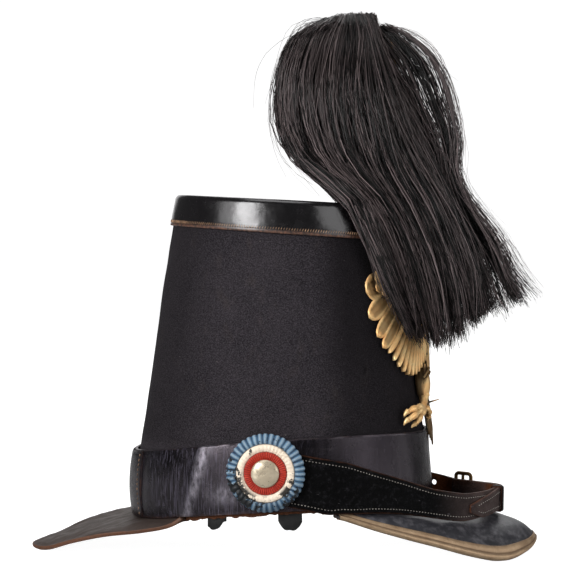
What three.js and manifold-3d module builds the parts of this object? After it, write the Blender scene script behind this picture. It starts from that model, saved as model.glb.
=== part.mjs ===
// A shako: a tall felt hat with a leather lid, a leather foot band, a front and a rear peak, a chin strap,
// a rosette, an eagle plate and a hanging horsehair plume.
// Millimetres. +X is the front, +Z up. The origin is on the surface it rests on, under the middle of the hat.
import * as THREE from 'three';
import { mergeVertices } from 'three/addons/utils/BufferGeometryUtils.js';
import Module from 'manifold-3d';

const wasm = await Module();
wasm.setup();

// ---------------------------------------------------------------- driving dimensions
const GAP = 0.35; // between pieces that touch
const AROUND = 60; // steps round the body

const FELT = 2.5; // wall of the body
const BAND_LEATHER = 2.0;
const CAP_LEATHER = 1.7;
const CAP_CORNER = 3.5;
const PEAK_LEATHER = 3.0;
const REAR_LEATHER = 2.6;
const STRAP_LEATHER = 2.0;

// Sections of the felt body: an ellipse a by b about cx, tilted front to back by slope, raised by arch at the sides.
const FELT_SECTIONS = [
  { at: 'hem', cx: -1.1, a: 98.4, b: 81.0, z: 26.0, slope: 0.058, arch: 8.0 },
  { at: 'band top', cx: -3.2, a: 96.2, b: 79.3, z: 75.5, slope: 0.0844, arch: 6.5 },
  { at: 'cap edge', cx: -4.0, a: 75.0, b: 66.5, z: 216.0, slope: -0.04, arch: 0 },
  { at: 'wall top', cx: -3.6, a: 72.3, b: 64.3, z: 233.5, slope: -0.038, arch: 0 },
];
// Outside of the foot band.
const BAND_SECTIONS = [
  { at: 'bottom', cx: -1.1, a: 101.9, b: 84.0, z: 28.3, slope: 0.058, arch: 8.0 },
  { at: 'middle', cx: -3.7, a: 101.6, b: 83.8, z: 51.9, slope: 0.071, arch: 7.2 },
  { at: 'top', cx: -3.6, a: 99.5, b: 82.3, z: 75.8, slope: 0.0844, arch: 6.5 },
];
// Outside of the lid.
const CAP_SECTIONS = [
  { at: 'skirt edge', cx: -3.85, a: 77.2, b: 68.7, z: 215.5, slope: -0.052, arch: 0 },
  { at: 'corner foot', cx: -3.6, a: 74.5, b: 66.5, z: 232.4, slope: -0.038, arch: 0 },
];
const CAP_TOP = 237.1;

// Front peak: the edge is a half ellipse in plan; the foot follows the hem between plus and minus attachDeg.
const FRONT_PEAK = { attachDeg: 72, x0: 30, reach: 141.13, half: 79.2, bulge: 7.0, endDrop: 1.5 };
const FRONT_EDGE = [ // height of the edge's upper face round the peak, from the middle out
  { deg: 0, z: 10.8 }, { deg: 20, z: 5.6 }, { deg: 30, z: 2.5 }, { deg: 35, z: 2.2 }, { deg: 40, z: 3.0 },
  { deg: 50, z: 7.4 }, { deg: 60, z: 13.4 }, { deg: 70, z: 19.4 }, { deg: 80, z: 26.2 }, { deg: 90, z: 34.6 },
];
const RIM = { metal: 0.8, over: 8.0, under: 5.0 };

const REAR_PEAK = { attachDeg: 50, x0: -67, reach: 105, half: 66, bulge: 1.6 };
const REAR_EDGE = [ // height of the edge's upper face; the underside at the tip is pressed flat at z = 0
  { deg: 0, z: 1.75 }, { deg: 15, z: 1.9 }, { deg: 30, z: 4.2 }, { deg: 45, z: 10.8 }, { deg: 60, z: 16.8 },
  { deg: 75, z: 20.6 }, { deg: 85, z: 24.8 }, { deg: 90, z: 31.0 },
];

// Chin strap: middle line in plan (y is the distance from the middle plane) with the height of its two edges.
const STRAP_STATIONS = [
  { x: -31, y: 82.2, top: 78.0, bottom: 46.0 },
  { x: -10, y: 85.5, top: 76.5, bottom: 42.5 },
  { x: 10.4, y: 85.5, top: 72.6, bottom: 38.6 },
  { x: 39.6, y: 79.2, top: 67.6, bottom: 32.5 },
  { x: 60, y: 70.6, top: 60.5, bottom: 28.0 },
  { x: 73.7, y: 63.2, top: 56.0, bottom: 25.2 },
  { x: 96.2, y: 52.0, top: 48.0, bottom: 23.5 },
  { x: 118, y: 39.5, top: 43.5, bottom: 23.6 },
  { x: 135.5, y: 21.5, top: 43.8, bottom: 25.0 },
  { x: 144, y: 0, top: 45.0, bottom: 25.7 },
];
const STRAP_STEPS = 72;
const STRAP_LIFT = 2.3; // room for the keeper between the strap and the front peak
const STRAP_LAYER = STRAP_LEATHER + 0.4; // the far half lies this far outside the near half where they double
const FAR_DOUBLES = { from: 92, to: 112 }; // x over which the far half moves out to the outer layer
const STRAP_TIP = { x: 121, taperTo: 141, height: 4.5 };
const BUCKLE = { x: 120.5, wide: 15, rise: 5.6, bar: 2.4 };
const KEEPER = { x: 142.2, wide: 4.5, leather: 1.2 };

const COCKADE = { x: -13.2, z: 61.8, seat: 87.0, turnDeg: 4.5, segments: 40 };
const COCKADE_PROFILE = [ // three rings, each standing a little above the one outside it
  { r: 0, h: 0 }, { r: 24.6, h: 0 }, { r: 26, h: 1.2 }, { r: 25.6, h: 2.6 }, { r: 20.2, h: 3.8 }, { r: 19.6, h: 3.3 },
  { r: 19.0, h: 4.3 }, { r: 15.0, h: 4.8 }, { r: 14.4, h: 4.3 }, { r: 13.8, h: 5.0 }, { r: 10, h: 5.2 }, { r: 0, h: 5.2 },
];
const BUTTON_PROFILE = [
  { r: 0, h: 5.5 }, { r: 9.2, h: 5.5 }, { r: 9.4, h: 5.9 }, { r: 8.2, h: 6.8 }, { r: 5.6, h: 7.6 }, { r: 2.8, h: 7.95 }, { r: 0, h: 8.05 },
];
const FAR_BUTTON_PROFILE = [
  { r: 0, h: 0 }, { r: 13, h: 0 }, { r: 14, h: 1 }, { r: 13.4, h: 2.6 }, { r: 9.8, h: 3.4 }, { r: 9.4, h: 5.0 },
  { r: 8.0, h: 6.6 }, { r: 5.4, h: 7.6 }, { r: 2.7, h: 7.95 }, { r: 0, h: 8.05 },
];

// Eagle, drawn flat: w is the way round the body at radius EAGLE_WRAP, z the height, d the height above the felt.
const EAGLE_WRAP = 84;
const EAGLE_BACK = 0.5;
const WING_EDGE = [ // one wing, from the shoulder up round the tip and down the feather ends
  { w: 4, z: 178 }, { w: 14, z: 181 }, { w: 28, z: 187 }, { w: 44, z: 195 }, { w: 58, z: 199 }, { w: 67, z: 195 },
  { w: 70, z: 186 }, { w: 66, z: 177 }, { w: 70, z: 170 }, { w: 69, z: 161 }, { w: 64, z: 157 }, { w: 66, z: 149 },
  { w: 60, z: 145 }, { w: 58, z: 139 }, { w: 51, z: 139 }, { w: 48, z: 133 }, { w: 42, z: 134 }, { w: 38, z: 126 },
  { w: 32, z: 128 }, { w: 27, z: 122 }, { w: 20, z: 127 }, { w: 10, z: 130 }, { w: 4, z: 134 },
];
const TAIL_EDGE = [
  { w: -6, z: 122 }, { w: -9, z: 96 }, { w: -13, z: 80 }, { w: -10, z: 74 }, { w: -5, z: 76 }, { w: 0, z: 71.5 },
  { w: 5, z: 76 }, { w: 10, z: 74 }, { w: 13, z: 80 }, { w: 9, z: 96 }, { w: 6, z: 122 },
];
const EAGLE_LUMPS = [ // rounded masses: middle, half sizes, lean in the picture
  { name: 'body', w: 0, z: 150, d: 3.4, rw: 15, rz: 33, rd: 7.4, leanDeg: 0 },
  { name: 'head', w: 2, z: 190, d: 5.0, rw: 9, rz: 11, rd: 5.5, leanDeg: 0 },
  { name: 'beak', w: 11, z: 190, d: 5.0, rw: 7, rz: 3.4, rd: 3.2, leanDeg: -12 },
  { name: 'thigh right', w: 14, z: 120, d: 4.0, rw: 8, rz: 15, rd: 6.0, leanDeg: 22 },
  { name: 'thigh left', w: -14, z: 120, d: 4.0, rw: 8, rz: 15, rd: 6.0, leanDeg: -22 },
  { name: 'shin right', w: 23, z: 103, d: 3.6, rw: 4, rz: 11, rd: 4.0, leanDeg: 28 },
  { name: 'shin left', w: -23, z: 103, d: 3.6, rw: 4, rz: 11, rd: 4.0, leanDeg: -28 },
  { name: 'claw right', w: 29, z: 93, d: 3.4, rw: 14, rz: 4.6, rd: 4.4, leanDeg: -8 },
  { name: 'claw left', w: -29, z: 93, d: 3.4, rw: 14, rz: 4.6, rd: 4.4, leanDeg: 8 },
];

// Plume: rings from the top down. Rear, middle and front of each ring in the middle plane, and its half depth.
const PLUME_ROWS = [
  { rearX: 53, rearZ: 363.0, midX: 60, midZ: 363.8, frontX: 66, frontZ: 361.0, half: 8 },
  { rearX: 20, rearZ: 353, midX: 58, midZ: 351, frontX: 87, frontZ: 346, half: 24 },
  { rearX: -3, rearZ: 336, midX: 57, midZ: 331, frontX: 100, frontZ: 328, half: 38 },
  { rearX: -10, rearZ: 312, midX: 60, midZ: 306, frontX: 108, frontZ: 303, half: 47 },
  { rearX: -8, rearZ: 285, midX: 64, midZ: 282, frontX: 112, frontZ: 279, half: 52 },
  { rearX: 5, rearZ: 263, midX: 71, midZ: 258, frontX: 117, frontZ: 254, half: 54 },
  { rearX: 33, rearZ: 240, midX: 80, midZ: 236, frontX: 131, frontZ: 235, half: 53 },
  { rearX: 50, rearZ: 206, midX: 92, midZ: 210, frontX: 146, frontZ: 209, half: 51 },
  { rearX: 66, rearZ: 172, midX: 101, midZ: 178, frontX: 155, frontZ: 192, half: 46 },
  { rearX: 84, rearZ: 142, midX: 108, midZ: 146, frontX: 166, frontZ: 178, half: 41 },
];
const PLUME_STEPS = 16;
const PLUME_AROUND = 26;
const PLUME_OFF_BODY = 1.2; // hair stands this far off the felt and the lid
const PLUME_OFF_EAGLE = { height: 206, halfDeg: 62, off: 13 };
const PLUME_POST = { r: 3, footX: 81.5, footZ: 203.5, topX: 66, topZ: 346 };

const LINER = { leather: 1.2, top: 52, off: 0.4 };
const LINER_TABS = [
  { name: 'liner_tab_rear', fromX: -51, toX: -39, lowZ: 23.6, slantMm: 2.5, round: 0 },
  { name: 'liner_tab_front', fromX: -5, toX: 10.6, lowZ: 23.6, slantMm: 0, round: 4.5 },
];

// ---------------------------------------------------------------- helpers
const rad = THREE.MathUtils.degToRad;
const V = (x, y, z) => new THREE.Vector3(x, y, z);
const lerp = THREE.MathUtils.lerp;
const clamp = THREE.MathUtils.clamp;

// Straight-line reading of one column of a table against another.
function read(table, key, at, column) {
  if (at <= table[0][key]) return table[0][column];
  for (let i = 1; i < table.length; i++) {
    const p = table[i - 1], q = table[i];
    if (at <= q[key]) return lerp(p[column], q[column], (at - p[key]) / (q[key] - p[key]));
  }
  return table[table.length - 1][column];
}

// Smooth reading: a cubic through the rows, flat at a row flagged as symmetric.
function readSmooth(table, key, at, column) {
  const n = table.length;
  let i = 1;
  while (i < n - 1 && at > table[i][key]) i++;
  const p = table[i - 1], q = table[i];
  const slope = (j) => {
    if (j <= 0) return 0;
    if (j >= n - 1) return (table[n - 1][column] - table[n - 2][column]) / (table[n - 1][key] - table[n - 2][key]);
    return (table[j + 1][column] - table[j - 1][column]) / (table[j + 1][key] - table[j - 1][key]);
  };
  const h = q[key] - p[key];
  const s = clamp((at - p[key]) / h, 0, 1);
  const s2 = s * s, s3 = s2 * s;
  return (2 * s3 - 3 * s2 + 1) * p[column] + (s3 - 2 * s2 + s) * h * slope(i - 1)
    + (3 * s2 - 2 * s3) * q[column] + (s3 - s2) * h * slope(i);
}

function geometryFrom(points, triangles) {
  let volume = 0;
  for (const [a, b, c] of triangles) {
    const p = points[a], q = points[b], r = points[c];
    volume += p.dot(V().crossVectors(q, r));
  }
  const geometry = new THREE.BufferGeometry();
  geometry.setAttribute('position', new THREE.Float32BufferAttribute(points.flatMap((p) => [p.x, p.y, p.z]), 3));
  geometry.setIndex(triangles.flatMap(([a, b, c]) => (volume < 0 ? [a, c, b] : [a, b, c])));
  geometry.computeVertexNormals();
  return geometry;
}

// A closed skin over rings of equal count. With loop the last ring joins the first; otherwise both ends are capped,
// with the cap's triangles taken from a flat outline.
function loft(rings, { loop = false, outline = null } = {}) {
  const m = rings[0].length;
  const points = rings.flat();
  const triangles = [];
  const last = loop ? rings.length : rings.length - 1;
  for (let i = 0; i < last; i++) {
    const i2 = (i + 1) % rings.length;
    for (let j = 0; j < m; j++) {
      const j2 = (j + 1) % m;
      const a = i * m + j, b = i * m + j2, c = i2 * m + j2, d = i2 * m + j;
      triangles.push([a, b, c], [a, c, d]);
    }
  }
  if (!loop) {
    const flat = outline ?? rings[0].map((p) => new THREE.Vector2(p.x, p.y));
    const area = THREE.ShapeUtils.area(flat);
    const order = flat.map((_, k) => k);
    if (area < 0) order.reverse();
    const cap = THREE.ShapeUtils.triangulateShape(order.map((k) => flat[k]), []);
    const base = (rings.length - 1) * m;
    for (const [a, b, c] of cap) {
      const [p, q, r] = [order[a], order[b], order[c]];
      // the wall above runs ring edges as j then j + 1, so the first cap takes them backwards
      if (area < 0) { triangles.push([p, q, r], [base + p, base + r, base + q]); } else { triangles.push([p, r, q], [base + p, base + q, base + r]); }
    }
  }
  return geometryFrom(points, triangles);
}

function solid(geometry) {
  let bare = geometry.clone();
  for (const name of Object.keys(bare.attributes)) if (name !== 'position') bare.deleteAttribute(name);
  bare = mergeVertices(bare, 1e-4);
  const index = [];
  const from = bare.index.array;
  for (let i = 0; i < from.length; i += 3) {
    if (from[i] !== from[i + 1] && from[i + 1] !== from[i + 2] && from[i] !== from[i + 2]) index.push(from[i], from[i + 1], from[i + 2]);
  }
  return new wasm.Manifold(new wasm.Mesh({
    numProp: 3,
    vertProperties: new Float32Array(bare.attributes.position.array),
    triVerts: new Uint32Array(index),
  }));
}

function geometryOf(manifold) {
  const mesh = manifold.getMesh();
  const points = [];
  for (let i = 0; i < mesh.vertProperties.length; i += mesh.numProp) {
    points.push(V(mesh.vertProperties[i], mesh.vertProperties[i + 1], mesh.vertProperties[i + 2]));
  }
  const triangles = [];
  for (let i = 0; i < mesh.triVerts.length; i += 3) triangles.push([mesh.triVerts[i], mesh.triVerts[i + 1], mesh.triVerts[i + 2]]);
  return geometryFrom(points, triangles);
}

// Halves every edge longer than maxLength, keeping the skin closed, so that it can be bent.
function splitLongEdges(geometry, maxLength) {
  const points = [];
  const at = geometry.attributes.position;
  for (let i = 0; i < at.count; i++) points.push(V(at.getX(i), at.getY(i), at.getZ(i)));
  let triangles = [];
  for (let i = 0; i < geometry.index.count; i += 3) triangles.push([geometry.index.getX(i), geometry.index.getX(i + 1), geometry.index.getX(i + 2)]);
  for (let pass = 0; pass < 5; pass++) {
    const middle = new Map();
    const split = (a, b) => {
      if (Math.hypot(points[a].x - points[b].x, (points[a].y - points[b].y) * 0.4) <= maxLength) return -1;
      const key = a < b ? `${a}_${b}` : `${b}_${a}`;
      if (!middle.has(key)) { middle.set(key, points.length); points.push(points[a].clone().add(points[b]).multiplyScalar(0.5)); }
      return middle.get(key);
    };
    const next = [];
    for (const [a, b, c] of triangles) {
      const ab = split(a, b), bc = split(b, c), ca = split(c, a);
      const cuts = [ab, bc, ca].filter((k) => k >= 0).length;
      if (cuts === 0) next.push([a, b, c]);
      else if (cuts === 3) next.push([a, ab, ca], [ab, b, bc], [ca, bc, c], [ab, bc, ca]);
      else {
        // turn the corner names so that the first cut side is a-b and, with two cuts, the second is b-c
        let [p, q, r, pq, qr, rp] = [a, b, c, ab, bc, ca];
        while (pq < 0 || (cuts === 2 && qr < 0)) [p, q, r, pq, qr, rp] = [q, r, p, qr, rp, pq];
        if (cuts === 1) next.push([p, pq, r], [pq, q, r]);
        else next.push([p, pq, r], [pq, qr, r], [pq, q, qr]);
      }
    }
    triangles = next;
    if (middle.size === 0) break;
  }
  return { points, triangles };
}

// ---------------------------------------------------------------- body
function sectionPoint(section, u, grow = 0, lift = 0) {
  const x = section.cx + (section.a + grow) * Math.cos(u);
  const y = (section.b + grow) * Math.sin(u);
  return V(x, y, section.z + section.slope * (x - section.cx) + section.arch * Math.sin(u) ** 2 + lift);
}
function ring(section, grow = 0, lift = 0) {
  return Array.from({ length: AROUND }, (_, i) => sectionPoint(section, (2 * Math.PI * i) / AROUND, grow, lift));
}
// The felt's surface at an angle and a height.
function feltAt(u, z, grow = 0) {
  const rows = FELT_SECTIONS.map((s) => sectionPoint(s, u, grow));
  let i = 0;
  while (i < rows.length - 2 && z > rows[i + 1].z) i++;
  const t = (z - rows[i].z) / (rows[i + 1].z - rows[i].z);
  return rows[i].clone().lerp(rows[i + 1], t);
}
const HEM = FELT_SECTIONS[0];
const bandFootZ = (u) => sectionPoint(BAND_SECTIONS[0], u).z;

const crownShell = loft(
  [...FELT_SECTIONS.map((s) => ring(s)), ...FELT_SECTIONS.slice().reverse().map((s) => ring(s, -FELT))],
  { loop: true },
);

const baseBand = loft(
  [...BAND_SECTIONS.map((s) => ring(s)), ...BAND_SECTIONS.slice().reverse().map((s) => ring(s, -BAND_LEATHER))],
  { loop: true },
);

function capRings() {
  const [edge, corner] = CAP_SECTIONS;
  const rise = CAP_TOP - corner.z;
  const turns = [0.25, 0.5, 0.75, 1].map((q) => {
    const angle = (q * Math.PI) / 2;
    return ring(corner, -CAP_CORNER * (1 - Math.cos(angle)), rise * Math.sin(angle));
  });
  const wallTop = FELT_SECTIONS[3];
  const underTop = ring(wallTop, GAP, GAP);
  return [underTop, ring(edge, -CAP_LEATHER), ring(edge), ring(corner), ...turns];
}
const topCap = loft(capRings());

// ---------------------------------------------------------------- peaks
function frontPeakTop(deg, t) {
  const away = Math.abs(deg);
  const u = rad((deg * FRONT_PEAK.attachDeg) / 90);
  const foot = sectionPoint(HEM, u, GAP + 0.1);
  foot.z = bandFootZ(u) - GAP - FRONT_PEAK.endDrop * (away / 90) ** 4;
  const edge = V(
    FRONT_PEAK.x0 + FRONT_PEAK.reach * Math.cos(rad(deg)),
    FRONT_PEAK.half * Math.sin(rad(deg)),
    readSmooth(FRONT_EDGE, 'deg', away, 'z'),
  );
  const p = foot.lerp(edge, t);
  p.z += FRONT_PEAK.bulge * Math.cos(rad(deg)) * (1 - Math.abs(2 * t ** 1.6 - 1) ** 3);
  return p;
}
function rearPeakTop(deg, t) {
  const away = Math.abs(deg);
  const u = Math.PI - rad((deg * REAR_PEAK.attachDeg) / 90);
  const foot = sectionPoint(HEM, u, GAP + 0.1);
  foot.z = bandFootZ(u) - GAP;
  const edge = V(
    REAR_PEAK.x0 - REAR_PEAK.reach * Math.cos(rad(deg)),
    REAR_PEAK.half * Math.sin(rad(deg)),
    readSmooth(REAR_EDGE, 'deg', away, 'z'),
  );
  const p = foot.lerp(edge, t);
  p.z += REAR_PEAK.bulge * Math.cos(rad(deg)) * Math.sin(Math.PI * t);
  return p;
}
// Upward direction across the sheet; straight up at the foot, square to the sheet towards the edge.
function sheetUp(top, deg, t) {
  const e = 0.02;
  const d0 = clamp(deg, -88, 88);
  const along = top(d0 + 1, t).sub(top(d0 - 1, t));
  const out = top(d0, Math.min(1, t + e)).sub(top(d0, Math.max(0, t - e)));
  const n = along.cross(out).normalize();
  if (n.z < 0) n.negate();
  const share = THREE.MathUtils.smoothstep(t, 0.1, 0.5);
  return V(0, 0, 1).lerp(n, share).normalize();
}
function outward(top, deg, t) {
  return top(deg, t).sub(top(deg, t - 0.02)).normalize();
}
function peakSheet(top, leather, degSteps, tSteps, endDeg) {
  const stations = Array.from({ length: degSteps + 1 }, (_, i) => lerp(-endDeg, endDeg, i / degSteps));
  const across = Array.from({ length: tSteps + 1 }, (_, j) => 1 - (1 - j / tSteps) ** 1.35);
  const outline = [...across.map((t) => new THREE.Vector2(t * 10, 0)), ...across.slice().reverse().map((t) => new THREE.Vector2(t * 10, -1))];
  const rings = stations.map((deg) => {
    const upper = across.map((t) => top(deg, t));
    const lower = across.map((t) => top(deg, t).addScaledVector(sheetUp(top, deg, t), -leather)).reverse();
    return [...upper, ...lower];
  });
  return loft(rings, { outline });
}
const frontPeak = peakSheet(frontPeakTop, PEAK_LEATHER, 36, 8, 89);

// The binding: a channel folded over the edge, narrowing towards the ends of the peak.
function rimSection(deg) {
  const length = frontPeakTop(deg, 1).distanceTo(frontPeakTop(deg, 0));
  const over = Math.min(RIM.over, 0.55 * length) / length;
  const under = Math.min(RIM.under, 0.45 * length) / length;
  const at = (t, h) => frontPeakTop(deg, t).addScaledVector(sheetUp(frontPeakTop, deg, t), h);
  const past = (d, h) => at(1, h).addScaledVector(outward(frontPeakTop, deg, 1), d);
  const near = GAP, far = GAP + RIM.metal, low = -PEAK_LEATHER - GAP, lowest = low - RIM.metal;
  return [
    at(1 - over, near), at(1 - over, far), at(1 - over / 2, far), at(1, far), past(far * 0.8, near * 0.5), past(far, -PEAK_LEATHER / 2),
    past(far * 0.8, low + GAP * 0.5), at(1, lowest), at(1 - under, lowest), at(1 - under, low), at(1, low), past(GAP, low + GAP), past(GAP, near - GAP), at(1, near), at(1 - over / 2, near),
  ];
}
const RIM_OUTLINE = [[-8, 0], [-8, 1], [-4, 1], [0, 1], [1, 0.3], [1.4, -1.5], [1, -3.2], [0, -5], [-5, -5], [-5, -4], [0, -4], [0.4, -3], [0.4, -0.4], [0, 0], [-4, 0]]
  .map(([x, y]) => new THREE.Vector2(x, y));
const RIM_STEPS = 44;
const frontPeakRim = loft(
  Array.from({ length: RIM_STEPS + 1 }, (_, i) => rimSection(lerp(-86, 86, i / RIM_STEPS))),
  { outline: RIM_OUTLINE },
);

const UNDER_FLOOR = new THREE.BoxGeometry(500, 400, 40).translate(0, 0, -20);
const rearPeak = geometryOf(solid(peakSheet(rearPeakTop, REAR_LEATHER, 28, 6, 89)).subtract(solid(UNDER_FLOOR)));

// ---------------------------------------------------------------- chin strap
// Highest point of the front peak and its binding near a place in plan.
const PEAK_HEIGHTS = [];
for (let deg = -88; deg <= 88; deg += 2) {
  for (let k = 0; k <= 30; k++) {
    const t = k / 30;
    const p = frontPeakTop(deg, t).addScaledVector(sheetUp(frontPeakTop, deg, t), t > 0.45 ? GAP + RIM.metal * (t > 0.8 || Math.abs(deg) > 60 ? 1 : 0) : 0);
    PEAK_HEIGHTS.push(p);
  }
}
function peakHeight(x, y, reach = 3.6) {
  let z = -Infinity;
  for (const p of PEAK_HEIGHTS) if (Math.hypot(p.x - x, p.y - y) < reach) z = Math.max(z, p.z);
  return z;
}
const strapPath = new THREE.CatmullRomCurve3([
  ...STRAP_STATIONS.map((s) => V(s.x, -s.y, 0)),
  ...STRAP_STATIONS.slice(0, -1).reverse().map((s) => V(s.x, s.y, 0)),
], false, 'centripetal');
strapPath.arcLengthDivisions = 600;
const STRAP_ROUTE = Array.from({ length: STRAP_STEPS + 1 }, (_, i) => {
  const p = strapPath.getPointAt(i / STRAP_STEPS);
  const dir = strapPath.getTangentAt(i / STRAP_STEPS);
  const room = GAP + STRAP_LIFT * THREE.MathUtils.smoothstep(p.x, 122, 138);
  const bottom = Math.max(read(STRAP_STATIONS, 'x', p.x, 'bottom'), peakHeight(p.x, p.y) + room);
  return { at: i / STRAP_STEPS, p, out: V(dir.y, -dir.x, 0), top: read(STRAP_STATIONS, 'x', p.x, 'top'), bottom, side: p.y < 0 ? -1 : 1 };
});
const STRAP_OUTLINE = [[0, 0], [1, 0], [1, 1], [0, 1]].map(([x, y]) => new THREE.Vector2(x, y));
function strapSolid(stations) {
  return loft(stations.map(({ p, out, top, bottom, layer }) => {
    const inner = p.clone().addScaledVector(out, layer - STRAP_LEATHER / 2);
    const outer = p.clone().addScaledVector(out, layer + STRAP_LEATHER / 2);
    return [V(inner.x, inner.y, bottom), V(outer.x, outer.y, bottom), V(outer.x, outer.y, top), V(inner.x, inner.y, top)];
  }), { outline: STRAP_OUTLINE });
}
// the near half: from behind the rosette, round the front, to the buckle on the far side
const nearStations = STRAP_ROUTE
  .filter((s) => s.side < 0 || s.p.x > BUCKLE.x - 4)
  .map((s, i) => ({ ...s, layer: 0, top: s.top - (i === 0 ? 5 : 0), bottom: s.bottom + (i === 0 ? 5 : 0) }));
const strapNear = strapSolid(nearStations);
// the far half: from the far button out over the buckle, round the front and along to its point
const farStations = STRAP_ROUTE
  .filter((s) => s.side > 0 || s.p.x > STRAP_TIP.x)
  .map((s) => {
    const layer = s.side < 0 ? STRAP_LAYER : STRAP_LAYER * THREE.MathUtils.smoothstep(s.p.x, FAR_DOUBLES.from, FAR_DOUBLES.to);
    let { top, bottom } = s;
    if (s.side < 0) {
      const share = clamp((STRAP_TIP.taperTo - s.p.x) / (STRAP_TIP.taperTo - STRAP_TIP.x), 0, 1);
      const middle = (top + bottom) / 2 - 1;
      top = lerp(top, middle + STRAP_TIP.height / 2, share);
      bottom = lerp(bottom, middle - STRAP_TIP.height / 2, clamp((share - 0.55) / 0.45, 0, 1));
    }
    return { ...s, layer, top, bottom };
  });
const strapFar = strapSolid(farStations);

const nearestStation = (x, side) => STRAP_ROUTE.filter((s) => s.side === side).reduce((a, b) => (Math.abs(b.p.x - x) < Math.abs(a.p.x - x) ? b : a));

// Stands a flat piece, drawn with x along the strap and y up, square to the strap at a station.
function standAt(mesh, station, layer, z) {
  const along = V(-station.out.y, station.out.x, 0);
  const turn = new THREE.Matrix4().makeBasis(along, V(0, 0, 1), station.out.clone());
  mesh.quaternion.setFromRotationMatrix(turn);
  mesh.position.copy(station.p).addScaledVector(station.out, layer).setZ(z);
  return mesh;
}
function roundedFrame(wide, high, bar, corner) {
  const shape = new THREE.Shape();
  const outline = (path, w, h, r) => {
    path.moveTo(-w / 2 + r, -h / 2);
    path.lineTo(w / 2 - r, -h / 2);
    path.absarc(w / 2 - r, -h / 2 + r, r, -Math.PI / 2, 0);
    path.lineTo(w / 2, h / 2 - r);
    path.absarc(w / 2 - r, h / 2 - r, r, 0, Math.PI / 2);
    path.lineTo(-w / 2 + r, h / 2);
    path.absarc(-w / 2 + r, h / 2 - r, r, Math.PI / 2, Math.PI);
    path.lineTo(-w / 2, -h / 2 + r);
    path.absarc(-w / 2 + r, -h / 2 + r, r, Math.PI, Math.PI * 1.5);
  };
  outline(shape, wide, high, corner);
  const hole = new THREE.Path();
  outline(hole, wide - 2 * bar, high - 2 * bar, Math.max(0.4, corner - bar));
  shape.holes.push(hole);
  return shape;
}
const buckleStation = nearestStation(BUCKLE.x, 1);
const buckleFoot = Math.max(buckleStation.bottom - 0.5, peakHeight(buckleStation.p.x, buckleStation.p.y + 4, 9) + 0.3);
const buckleHead = buckleStation.top + BUCKLE.rise;
const buckleHigh = buckleHead - buckleFoot;
const buckleFrame = new THREE.ExtrudeGeometry(roundedFrame(BUCKLE.wide, buckleHigh, BUCKLE.bar, 3), { depth: BUCKLE.bar, bevelEnabled: false, curveSegments: 4 });
const bucklePin = new THREE.BoxGeometry(BUCKLE.wide - BUCKLE.bar, 1.8, 1.6).translate(0, 0, BUCKLE.bar / 2);
const strapBuckle = geometryOf(solid(buckleFrame).add(solid(bucklePin)));

const keeperStation = nearestStation(KEEPER.x, -1);
const keeperDeep = STRAP_LAYER + STRAP_LEATHER + 2 * 0.9 + 2 * KEEPER.leather;
const keeperHigh = keeperStation.top - keeperStation.bottom + 2 * 0.35 + 2 * KEEPER.leather;
// drawn lying along the strap, then turned so that its length runs along it
const strapKeeper = new THREE.ExtrudeGeometry(roundedFrame(keeperDeep, keeperHigh, KEEPER.leather, 1.6), { depth: KEEPER.wide, bevelEnabled: false, curveSegments: 2 })
  .translate(0, 0, -KEEPER.wide / 2).rotateY(-Math.PI / 2);

// ---------------------------------------------------------------- rosette and buttons
const latheOf = (profile) => new THREE.LatheGeometry(profile.map(({ r, h }) => new THREE.Vector2(r, h)), COCKADE.segments);

// ---------------------------------------------------------------- eagle
function extrudedEdge(edge, depth, back, mirror = 1) {
  const shape = new THREE.Shape(edge.map(({ w, z }) => new THREE.Vector2(w * mirror, z)));
  return new THREE.ExtrudeGeometry(shape, { depth, bevelEnabled: false, curveSegments: 1 }).translate(0, 0, back);
}
function lump({ w, z, d, rw, rz, rd, leanDeg }) {
  return new THREE.SphereGeometry(1, 12, 8).scale(rw, rz, rd).rotateZ(rad(leanDeg)).translate(w, z, d);
}
let eagleFlat = solid(extrudedEdge(WING_EDGE, 2.6, EAGLE_BACK)).add(solid(extrudedEdge(WING_EDGE, 2.6, EAGLE_BACK, -1)));
eagleFlat = eagleFlat.add(solid(extrudedEdge(TAIL_EDGE, 2.4, 3.6)));
for (const part of EAGLE_LUMPS) eagleFlat = eagleFlat.add(solid(lump(part)));
eagleFlat = eagleFlat.subtract(solid(new THREE.BoxGeometry(300, 300, 20).translate(0, 140, EAGLE_BACK - 10)));
function bentEagle(flat) {
  const { points, triangles } = splitLongEdges(geometryOf(flat), 13);
  const bent = points.map((p) => {
    const u = p.x / EAGLE_WRAP;
    const on = feltAt(u, p.y);
    const n = V().crossVectors(feltAt(u + 0.02, p.y).sub(feltAt(u - 0.02, p.y)), feltAt(u, p.y + 1).sub(feltAt(u, p.y - 1))).normalize();
    if (n.x * on.x + n.y * on.y < 0) n.negate();
    return on.addScaledVector(n, p.z);
  });
  return geometryFrom(bent, triangles);
}
const eaglePlate = bentEagle(eagleFlat);

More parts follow.
